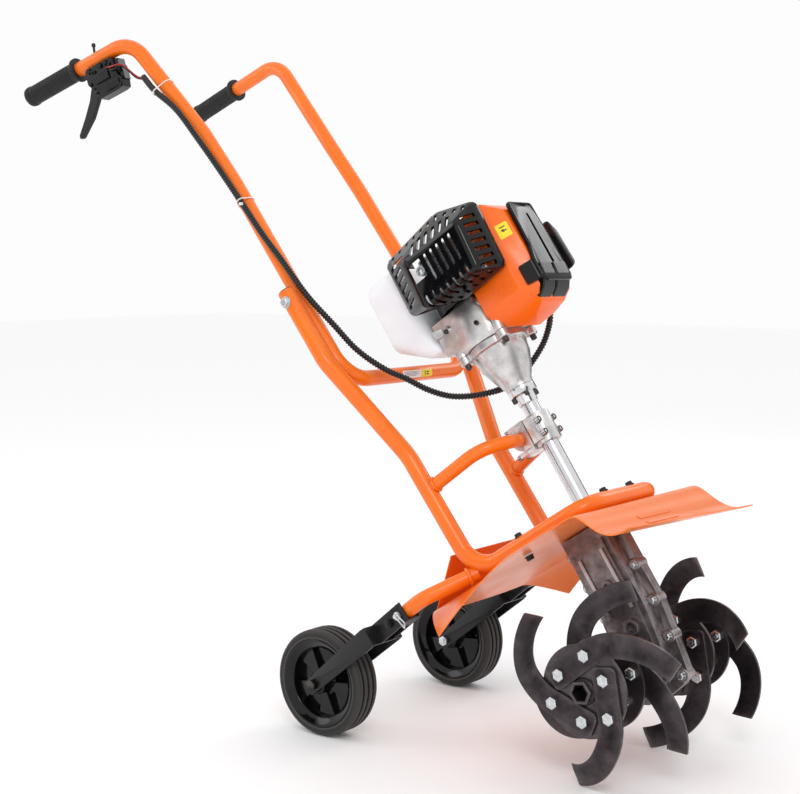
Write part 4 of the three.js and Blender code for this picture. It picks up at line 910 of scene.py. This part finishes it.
w = label["width"] / 2
h = label["height"] / 2
addPiece("warningLabel", slopePatch(rounded([(-w, -h), (w, -h), (w, h), (-w, h)], 2.5), 0.05, 0.3),
         shaftSpace, labelYellow, "frame")
addPiece("warningMark", together(
    slopePatch([(-7, -5), (-5.2, -5), (-5.2, 5), (-7, 5)], 0.36, 0.06),
    slopePatch([(-1, -5), (4, 0.5), (1.6, 0.5), (1.6, 5), (-0.4, 5), (-0.4, 0.5), (-2.8, 0.5)], 0.36, 0.06)),
    shaftSpace, labelInk, "frame")

# muffler and guard
mufflerCan = addPiece("mufflerCan", together(
    hullOf([(s, -104, b) for s in (-336, -280) for b in (6, 90)] + [(s, y, b) for s in (-342, -274)
           for b in (0, 96) for y in (-97, -67)]),
    block(-300, -262, -74, -67, 79, 95)), shaftSpace, zincPlate, "frame", 2)
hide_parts("muffler")
guard = {
    "base": [(-388, -72), (-286, -74), (-252, 36), (-256, 124), (-372, 130), (-400, 56)],
    "face": [(-352, -8), (-264, -14), (-262, 104), (-346, 110)],
    "middle": (-325, 35), "wall": 3.2, "slot": 6,
    "longSlots": (31, 45, 59, 73, 87), "lowerSlots": (-2, 13, 28, 43, 58, 73, 88),
    "lowerSideSlots": (-34, -17, 0, 17, 34, 51, 68, 85, 102), "upperSlots": (10, 26, 42, 58, 74, 90),
    "upperSideSlots": (-46, -28, -10, 8, 26, 44, 62, 80, 98, 114),
    "topSlots": (-352, -338, -324, -310, -296, -282, -268),
    "bottomSlots": (-368, -354, -340, -326, -312, -298),
}


def guardShape(inset):
    # outer skin at 0, inner one at the wall's thickness
    midS, midB = guard["middle"]
    points = []
    for s, b in guard["base"]:
        k = inset / 70
        points += [(s + (midS - s) * k, y, b + (midB - b) * k) for y in (-63 + inset * 2, -74)]
    for s, b in guard["face"]:
        k = inset / 55
        points.append((s + (midS - s) * k, -119 + inset, b + (midB - b) * k))
    return hullOf(points)


def slotBar(a, b, width, depth0, depth1):
    # long hole with round ends, cut along y
    start = Vector(a)
    end = Vector(b)
    run = (end - start).normalized()
    side = Vector((-run.y, run.x))
    outline = []
    for centre, way in ((start, -1), (end, 1)):
        for k in range(7):
            t = way * math.pi * (k / 6 - 0.5)
            reach = run * way * math.cos(t) + side * math.sin(t)
            outline.append(tuple(centre + reach * width / 2))
    return prism(outline, depth0, depth1, "y")


def cutterOf(name, *shapes):
    return addPiece(name, together(*shapes), shaftSpace, glossBlack, None, keep=True)


inner = cutterOf("guardInner", guardShape(guard["wall"]))
softenEdges(inner, 7, 3, 20)
cutters = [inner]
for name, s0, s1, extra, depth0, depth1 in (
        ("longSlots", -336, -294, 0, -140, -100), ("lowerSlots", -279, -240, 0, -140, -97),
        ("lowerSideSlots", -268, -230, 0, -91, -80), ("upperSlots", -420, -353, 1, -140, -98),
        ("upperSideSlots", -420, -366, 0, -91, -80)):
    cutters.append(cutterOf(name, *[
        slotBar((s0, b), (s1, b), guard["slot"] + extra, depth0, depth1) for b in guard[name]]))
for name, b0, b1, depth0, depth1 in (("topSlots", 98, 150, -108, -82), ("bottomSlots", -90, -14, -106, -82)):
    cutters.append(cutterOf(name, *[
        prism(rounded([(s, b0), (s + 6.5, b0), (s + 6.5, b1), (s, b1)], 3), depth0, depth1, "y")
        for s in guard[name]]))
window = rounded([(-339, -9), (-306, -9), (-306, 20), (-339, 20)], 4)
cutters.append(cutterOf("outletWindow", prism(window, -140, -96, "y")))
shield = addPiece("mufflerShield", guardShape(0), shaftSpace, glossBlack, None, keep=True)
softenEdges(shield, 9, 4, 20)
carve(shield, *cutters)
shield.data.materials.clear()  # each cutter left a slot of its own
shield.data.materials.append(glossBlack)
shield.data.set_sharp_from_angle(angle=math.radians(34))
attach(shield, "frame")
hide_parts("muffler_guard")
outlet = turned([(5.2, 0), (8.6, 0), (8.6, 5.4), (5.2, 5.4), (5.2, 0)], 32)
outlet = moved(outlet, towards((-322, -106.5, 7), (0, -1, 0)))
addPiece("exhaustOutlet", outlet, shaftSpace, zincPlate, "frame", 0.5)
print("engine ready")

# tank, cap, starter, intake
tank = {"half": 61.5, "corner": 18, "round": 22, "middle": (-296, -110),
        "neck": (22, -108), "neckRadius": 16.5}
tankOutline = rounded([(-384, -67), (-384, -150), (-262, -150), (-212, -88), (-213, -67)], tank["round"], 6)
tankLayers = []
for k in range(-7, 8):
    # cross sections shrink towards both ends along a quarter circle
    t = math.radians(90 * abs(k) / 7)
    y = math.copysign(tank["half"] - tank["corner"] * (1 - math.sin(t)), k) if k else 0
    shrink = 1 - tank["corner"] * (1 - math.cos(t)) / 44 if k else 1
    tankLayers.append([((s - tank["middle"][0]) * shrink + tank["middle"][0], y,
                        (b - tank["middle"][1]) * shrink + tank["middle"][1]) for s, b in tankOutline])
tankPiece = addPiece("fuelTank", stacked(tankLayers), shaftSpace, milkTank, "frame", smooth=60)
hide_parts("fuel_tank")
addPiece("tankNeck", tube((-391.5, *tank["neck"]), (-378, *tank["neck"]), tank["neckRadius"], 48),
         shaftSpace, milkTank, "frame", 1)
dress("fuel_cap", satinBlack, 1.2)
dress("recoil_starter", satinBlack, 1.5)
dress("starter_handle", satinBlack, 3)
dress("carburettor", castAlloy, 1)
dress("air_filter", satinBlack, 5)

# shaft clamp
for node in ("shaft_clamp_front", "shaft_clamp_rear", "shaft_clamp_saddle"):
    dress(node, castAlloy, 1.8)
# each row of screws: spacing down and across the shaft, seat, way they point, radius
clamp = {"screws": [((11, 22), 9, 1, 5.2), ((22.5, 13), crossB - 16, -1, 4.8)], "screwHeight": 8.6}
clampScrews = []
for (down, across), b, way, r in clamp["screws"]:
    for s in (loop["clampS"] - down, loop["clampS"] + down):
        for y in (-across, across):
            clampScrews.append(socketScrew((s, y, b), (0, 0, way), r, clamp["screwHeight"]))
addPiece("clampScrews", together(*clampScrews), shaftSpace, blackOxide, "frame")

# gearbox
gearbox = {"seam": [(234, 35), (294, 35), (352, 28), (412, 16), (174, -57), (228, -57), (281, -57)],
           "flange": 13, "ring": (262, -43, 4)}
dress("gearbox_right", darkCasting, 1.8)
dress("gearbox_left", darkCasting, 1.8)
gearScrews = []
for s, b in gearbox["seam"]:
    gearScrews.append(hexBolt((s, -gearbox["flange"], b), (0, -1, 0), 10, 5.4, 7.5))
    gearScrews.append(hexBolt((s, gearbox["flange"], b), (0, 1, 0), 8, 4))
lugs = [tube((s, -12.6, b), (s, 12.6, b), 10.5, 28) for s, b in gearbox["seam"]]
ringBoss = turned([(7.5, 0), (13, 0), (13, 3), (11, 5), (7.5, 5), (7.5, 0)], 36)
lugs.append(moved(ringBoss, towards(gearbox["ring"], (0, -1, 0))))
addPiece("gearboxLugs", together(*lugs), shaftSpace, darkCasting, "frame", 1.5)
addPiece("gearboxScrews", together(*gearScrews), shaftSpace, zincPlate, "frame", 0.3)
print("gearbox ready")

# tine rotor
rotor = {
    "discRadius": 70, "discThickness": 6, "inner": 112, "outer": 165, "boltLine": 39.6, "bolts": (-17, 38),
    "bladeWidth": 39, "bladeThickness": 5, "bladeArc": 89.6, "straight": 40, "lowPhase": 80, "hexTurn": 20,
    "hexAxle": 22, "lean": 30, "hex": 17, "head": 7.2, "nut": 8.2,
}
dress("tine_axle", scaleSteel, 0.6)
dress("worm_wheel", bronzeTurned)
dress("drive_shaft", scaleSteel)
dress("crankshaft", scaleSteel)


def hexTube(y0, y1, size, hole):
    # hexagonal hub with a hexagonal socket
    verts = []
    faces = []
    for y in (y0, y1):
        for r in (size / math.sqrt(3), hole / math.sqrt(3)):
            for k in range(6):
                t = math.radians(60 * k + 30 - rotor["hexTurn"])
                verts.append((r * math.cos(t), y, r * math.sin(t)))
    for k in range(6):
        n = (k + 1) % 6
        faces += [[k, n, 12 + n, 12 + k], [6 + k, 18 + k, 18 + n, 6 + n], [k, 6 + k, 6 + n, n],
                  [12 + k, 12 + n, 18 + n, 18 + k]]
    return verts, faces


def bladeShape(face, lean):
    half = rotor["bladeWidth"] / 2
    line = rotor["boltLine"]
    arc = rotor["bladeArc"]
    # square end with cut corners, then the curve; each row is inner point, outer point and offset
    square = ((-36, 7), (-33, 2.5), (-28, 0))
    sections = [(u, line - half + cut, u, line + half - cut, face) for u, cut in square]
    steps = 26
    for k in range(steps + 1):
        part = k / steps
        t = math.radians(88 * part)
        ti = math.radians(95 * part)
        width = half * (1 - 0.18 * part ** 2)
        w = face + lean * max(min((part - 0.38) / 0.62, 1), 0) ** 1.5
        near = arc - width
        far = arc + width
        sections.append((rotor["straight"] + near * math.sin(ti), line - arc + near * math.cos(ti),
                         rotor["straight"] + far * math.sin(t), line - arc + far * math.cos(t), w))
    verts = []
    faces = []
    thick = rotor["bladeThickness"]
    for i, (u0, v0, u1, v1, w) in enumerate(sections):
        # the concave edge is ground thin along the curve
        edge = 0.28 * min(max((i - 8) / 10, 0), 1)
        verts += [(u0, w + thick * edge, v0), (u0, w + thick * (1 - edge), v0),
                  (u0 + (u1 - u0) * 0.28, w + thick, v0 + (v1 - v0) * 0.28), (u1, w + thick, v1), (u1, w, v1),
                  (u0 + (u1 - u0) * 0.28, w, v0 + (v1 - v0) * 0.28)]
        if i:
            low = 6 * (i - 1)
            for c in range(6):
                d = (c + 1) % 6
                faces.append([low + c, low + d, low + 6 + d, low + 6 + c])
    faces += [[0, 5, 4, 3, 2, 1], [len(verts) - 6 + c for c in range(6)]]
    return verts, faces


for side, hand in ((-1, "right"), (1, "left")):
    outerTurn = rotor["lowPhase"] + (0 if side < 0 else 60)
    innerTurn = outerTurn + 60
    for name, y, outward, phase, hub in (
            ("outer", rotor["outer"], 1, outerTurn, (rotor["inner"] + 18.3, rotor["outer"] + 15)),
            ("inner", rotor["inner"], -1, innerTurn, (54, rotor["inner"] + 18))):
        back = side * (y - rotor["discThickness"] / 2)
        front = side * (y + rotor["discThickness"] / 2)
        edge = rotor["discRadius"]
        place = hand.capitalize() + name.capitalize()
        disc = together(
            turned([(15, back), (edge, back), (edge, front), (15, front), (15, back)], 72, "y"),
            hexTube(side * hub[0], side * hub[1], 32, rotor["hexAxle"] + 0.6),
            turned([(16, front), (21, front), (19.5, front + side * 3.4), (16, front + side * 4.6)], 40, "y"))
        piece = addPiece(f"tineDisc{place}", disc, axleSpace, scaleSteel, "rotor", 0.7)
        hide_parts(f"tine_disc_{hand}_{name}")
        surfaceY = y + outward * rotor["discThickness"] / 2
        near = surfaceY + outward * 0.3
        far = near + outward * rotor["bladeThickness"]
        low = min(side * near, side * far)
        for k, step in enumerate((0, 120, 240)):
            spin = axleSpace @ Matrix.Rotation(math.radians(phase + step), 4, "Y")
            blade = addPiece(f"tine{place}{k + 1}", bladeShape(low, -side * rotor["lean"]), spin,
                             scaleSteel, "rotor", 0.7, smooth=28)
            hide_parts(f"tine_{hand}_{name}_{k + 1}")
            heads = []
            out = Vector((0, side * outward, 0))
            for u in rotor["bolts"]:
                heads.append(hexBolt((u, side * far, rotor["boltLine"]), out, rotor["hex"], rotor["head"]))
                crown = u, side * (far + outward * rotor["head"]), rotor["boltLine"]
                heads.append(moved(turned([(0, 0), (3.6, 0), (3.4, 0.5), (0, 0.5)], 20), towards(crown, out)))
                seat = u, side * (y - outward * (rotor["discThickness"] / 2 + 0.2)), rotor["boltLine"]
                heads.append(hexBolt(seat, -out, rotor["hex"], rotor["nut"]))
                heads.append(moved(tube((0, 0, 0), (11, 0, 0), 4.9, 20), towards(seat, -out)))
            nuts = addPiece(f"tineBolts{place}{k + 1}", together(*heads), spin, zincPlate, "rotor", 0.4)
print("rotor ready")

# fender
fender = {"rear": -276, "front": 52, "lean": 0.05, "thick": 2, "half": general["fenderHalfWidth"],
          "bolts": [(40, 66), (-40, 66), (111, -62), (-111, -62)], "flapHalf": 116}


def droop(b, y):
    back = min(max((-40 - b) / 185, 0), 1)
    out = min(max((abs(y) - 125) / (fender["half"] - 125), 0), 1)
    return 46 * back ** 1.4 * out ** 1.5


def sheetGrid(points, across, thick):
    # points(i, j) gives a spot and the face's normal; the sheet gets its thickness along it
    rows, columns = across
    verts = []
    faces = []
    for layer in (0, 1):
        for i in range(rows + 1):
            for j in range(columns + 1):
                spot, normal = points(i / rows, j / columns)
                verts.append(spot + normal * thick * layer)
    size = (rows + 1) * (columns + 1)

    def at(i, j, layer):
        return layer * size + i * (columns + 1) + j

    for i in range(rows):
        for j in range(columns):
            for layer in (0, 1):
                faces.append([at(i, j, layer), at(i + 1, j, layer),
                              at(i + 1, j + 1, layer), at(i, j + 1, layer)])
    for i in range(rows):
        for j in (0, columns):
            faces.append([at(i, j, 0), at(i + 1, j, 0), at(i + 1, j, 1), at(i, j, 1)])
    for j in range(columns):
        for i in (0, rows):
            faces.append([at(i, j, 0), at(i, j + 1, 0), at(i, j + 1, 1), at(i, j, 1)])
    return verts, faces


def rearSpot(u, v):
    y = fender["half"] * (2 * v - 1)
    back = fender["rear"] + 50 * (abs(y) / fender["half"]) ** 3
    b = back + u * (fender["front"] - back)
    return Vector((general["plateTop"] + droop(b, y), y, b)), Vector((1, 0, 0))


apronCurve = [(149.8, 44), (149.8, 84), (155, 92), (167, 100), (183, 108),
              (198, 118), (208, 130), (214, 144), (216, 160)]
apronPath = smoothPath([(s, 0, b) for s, b in apronCurve], 60)[0]


def apronSpot(u, v):
    k = min(int(u * 60), 59)
    here = apronPath[k].lerp(apronPath[k + 1], u * 60 - k)
    ahead = (apronPath[k + 1] - apronPath[k]).normalized()
    normal = Vector((ahead.z, 0, -ahead.x))
    y = fender["half"] * (2 * v - 1)
    lean = fender["lean"] * y * min(max((here.z - 84) / 76, 0), 1)  # bent by hand, a little out of square
    return Vector((here.x + lean, y, here.z)), -normal


# plate, apron, ribs and flap take the orange coat painted paler, a painted sheen
rearPlate = addPiece("fenderPlate", sheetGrid(rearSpot, (48, 60), fender["thick"]), shaftSpace,
                     sheetOrangePaintedSheen, None, keep=True)
shaftHole = tube((130, 0, 0), (170, 0, 0), general["shaftTube"] / 2 + 3, 40)
carve(rearPlate, addPiece("shaftHole", shaftHole, shaftSpace, sheetOrangePaintedSheen, None, keep=True))
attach(rearPlate, "frame")
rearPlate.data.set_sharp_from_angle(angle=math.radians(34))
apron = addPiece("fenderApron", sheetGrid(apronSpot, (44, 8), -fender["thick"]), shaftSpace,
                 sheetOrangePaintedSheen, "frame")
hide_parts("fender_front")


def raisedBar(y0, y1, low, high):
    def spot(u, v):
        y = y0 + (y1 - y0) * v
        here, normal = apronSpot(low + (high - low) * u, 0.5 + y / fender["half"] / 2)
        return here + normal * 0.05, normal

    return sheetGrid(spot, (5, 2), 1)


# two raised ribs pressed into the apron
ribs = together(raisedBar(-62, 30, 0.55, 0.6), raisedBar(-62, 30, 0.66, 0.71))
addPiece("apronRibs", ribs, shaftSpace, sheetOrangePaintedSheen, "frame", 0.5)
flapFoot = fromShaft(general["plateTop"] - 0.4, 0, fender["rear"] + 10)
flapOutline = [(flapFoot.x, flapFoot.z), (flapFoot.x + 2.4, flapFoot.z + 1.2), (202.8, 309), (200.4, 309)]
flap = prism(flapOutline, -fender["flapHalf"], fender["flapHalf"], "y")
addPiece("fenderFlap", flap, machineSpace, sheetOrangePaintedSheen, "frame", 0.5)
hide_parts("fender_rear")
fenderBolts = []
for y, b in fender["bolts"]:
    fenderBolts.append(hexBolt((tubeLine - 13.4, y, b), (-1, 0, 0), 11, 5, 7.5))
    fenderBolts.append(hexBolt((general["plateTop"] + 4.6, y, b), (1, 0, 0), 11, 6, 8))
addPiece("fenderBolts", together(*fenderBolts), shaftSpace, blackOxide, "frame", 0.3)
print("fender ready")

# wheels
wheel = {"rim": 73, "gap": 0.3, "grooves": 3, "grooveStep": 12, "spokes": 5, "spokeTurn": -11}
for side, hand in ((-1, "right"), (1, "left")):
    half = general["wheelWidth"] / 2
    radius = general["wheelRadius"]
    seat = wheel["rim"] + wheel["gap"]
    space = Matrix.Translation(joint[f"wheel_{hand}_spin"]["pos_m"]) @ millimetre
    body = f"wheel_{hand}"
    profile = [(seat, -half), (76, -half - 0.6), (79, -half - 0.2), (radius - 6, -half),
               (radius - 2, -half + 2.4), (radius - 0.6, -half + 5)]
    for k in range(wheel["grooves"]):
        y = wheel["grooveStep"] * (k - 1)
        profile += [(radius, y - 3.2), (radius - 0.6, y - 2.2), (radius - 4, y - 1.4), (radius - 4, y + 1.4),
                    (radius - 0.6, y + 2.2), (radius, y + 3.2)]
    profile += [(radius - 0.6, half - 5), (radius - 2, half - 2.4), (radius - 6, half),
                (79, half + 0.2), (76, half + 0.6), (seat, half), (seat, -half)]
    tyre = addPiece(f"wheelTyre{hand.capitalize()}", turned(profile, 96, "y"), space, tyreRubber,
                    body, smooth=40)
    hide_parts(f"wheel_tyre_{hand}")
    edge = wheel["rim"]
    rim = [turned([(58, -half + 7), (66, -half + 1), (71, -half - 1), (edge, -half + 0.6),
                   (edge, half - 0.6), (71, half + 1), (66, half - 1), (58, half - 7),
                   (55, 9), (55, -9), (58, -half + 7)], 96, "y"),
           turned([(5.6, -half - 4), (14.5, -half - 4), (17, -half - 1), (19, -9), (24, -7), (24, 7), (19, 9),
                   (17, half + 1), (14.5, half + 4), (5.6, half + 4), (5.6, -half - 4)], 56, "y"),
           turned([(17, -1.4), (57, -1.4), (57, 1.4), (17, 1.4), (17, -1.4)], 72, "y")]
    for k in range(wheel["spokes"]):
        # fan of wedges, narrow at the hub
        t = math.radians(360 / wheel["spokes"] * k + wheel["spokeTurn"])
        along = Vector((math.cos(t), 0, math.sin(t)))
        over = Vector((-math.sin(t), 0, math.cos(t)))
        rim.append(hullOf([along * r + over * wide * w + leftward * deep * d for r, wide, deep in (
            (17, 6, 12), (57, 17, 9)) for w in (-1, 1) for d in (-1, 1)]))
    rimPiece = addPiece(f"wheelRim{hand.capitalize()}", together(*rim), space, glossBlack, body, 1.2)
    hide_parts(f"wheel_rim_{hand}")
    dress(f"wheel_bracket_{hand}", satinPaint, 0.8)
    dress(f"wheel_bolt_{hand}", blackOxide if side < 0 else zincPlate, 0.8)
    dress(f"lock_pin_{hand}", zincPlate, 0.3)
print("wheels ready")

# floor, light and camera
studio = {
    "floor": "#FBFBFC", "floorHalf": 14, "floorDrop": 0.0005, "sky": 0.98,
    "lens": 67.36, "camera": (1572, -2007, 774), "yaw": 37.91, "pitch": 5.22,
}
floorMesh = bpy.data.meshes.new("floor")
edge = studio["floorHalf"]
floorMesh.from_pydata([(x, y, -studio["floorDrop"]) for x, y in (
    (-edge, -edge), (edge, -edge), (edge, edge), (-edge, edge))], [], [[0, 1, 2, 3]])
floor = bpy.data.objects.new("floor", floorMesh)
bpy.context.scene.collection.objects.link(floor)
floorMesh.materials.append(surface("paleFloor", {
    "colour": studio["floor"], "rough": (0.75, 0.85), "grain": 4, "height": 0.01, "patch": 400}))

world = bpy.data.worlds.new("softStudio")
bpy.context.scene.world = world
world.use_nodes = True
world.node_tree.nodes["Background"].inputs["Color"].default_value = (1, 1, 1, 1)
world.node_tree.nodes["Background"].inputs["Strength"].default_value = studio["sky"]


def softbox(name, at, target, size, power):
    lamp = bpy.data.lights.new(name, "AREA")
    lamp.shape = "RECTANGLE"
    lamp.size, lamp.size_y = size
    lamp.energy = power
    item = bpy.data.objects.new(name, lamp)
    bpy.context.scene.collection.objects.link(item)
    item.location = at
    item.rotation_euler = (Vector(target) - Vector(at)).to_track_quat("-Z", "Y").to_euler()


softbox("keyLight", (2.4, -2.6, 3.0), (0.1, 0, 0.5), (1.2, 1.2), 34)
softbox("fillLight", (-2.8, -2.0, 2.0), (0, 0, 0.6), (1.5, 1.5), 12)
softbox("rimLight", (0.8, 3.0, 2.6), (0.1, 0, 0.6), (1.2, 1.2), 14)
cardBlack = surface("blackFelt", {"colour": "#0A0A0A", "rough": (0.9, 0.95), "grain": 3, "height": 0.01})


def darkCard(name, at, target, size):
    # black flag beside the set, so polished parts get a dark edge
    w, h = size[0] / 2, size[1] / 2
    mesh = bpy.data.meshes.new(name)
    mesh.from_pydata([(-w, -h, 0), (w, -h, 0), (w, h, 0), (-w, h, 0)], [], [[0, 1, 2, 3]])
    card = bpy.data.objects.new(name, mesh)
    bpy.context.scene.collection.objects.link(card)
    card.location = at
    card.rotation_euler = (Vector(target) - Vector(at)).to_track_quat("Z", "Y").to_euler()
    mesh.materials.append(cardBlack)
    card.visible_camera = False
    card.visible_shadow = False
    card.visible_diffuse = False
    return card


darkCard("cardRight", (3.4, -0.9, 1.0), (0.1, 0, 0.6), (1.3, 3.0))
darkCard("cardLeft", (-1.6, -3.4, 1.0), (0.1, 0, 0.6), (1.5, 3.0))
darkCard("cardFar", (0.4, 3.6, 1.2), (0.1, 0, 0.6), (1.6, 2.6))

camera = bpy.data.cameras.new("camera")
camera.lens = studio["lens"]
camera.sensor_width = 36
camera.clip_end = 60
view = bpy.data.objects.new("camera", camera)
bpy.context.scene.collection.objects.link(view)
view.location = machineSpace @ Vector(studio["camera"])
yaw = math.radians(studio["yaw"])
pitch = math.radians(studio["pitch"])
look = Vector((-math.sin(yaw) * math.cos(pitch), math.cos(yaw) * math.cos(pitch), -math.sin(pitch)))
view.rotation_euler = look.to_track_quat("-Z", "Y").to_euler()
bpy.context.scene.camera = view
bpy.context.scene.view_settings.view_transform = "Standard"
print("studio ready")
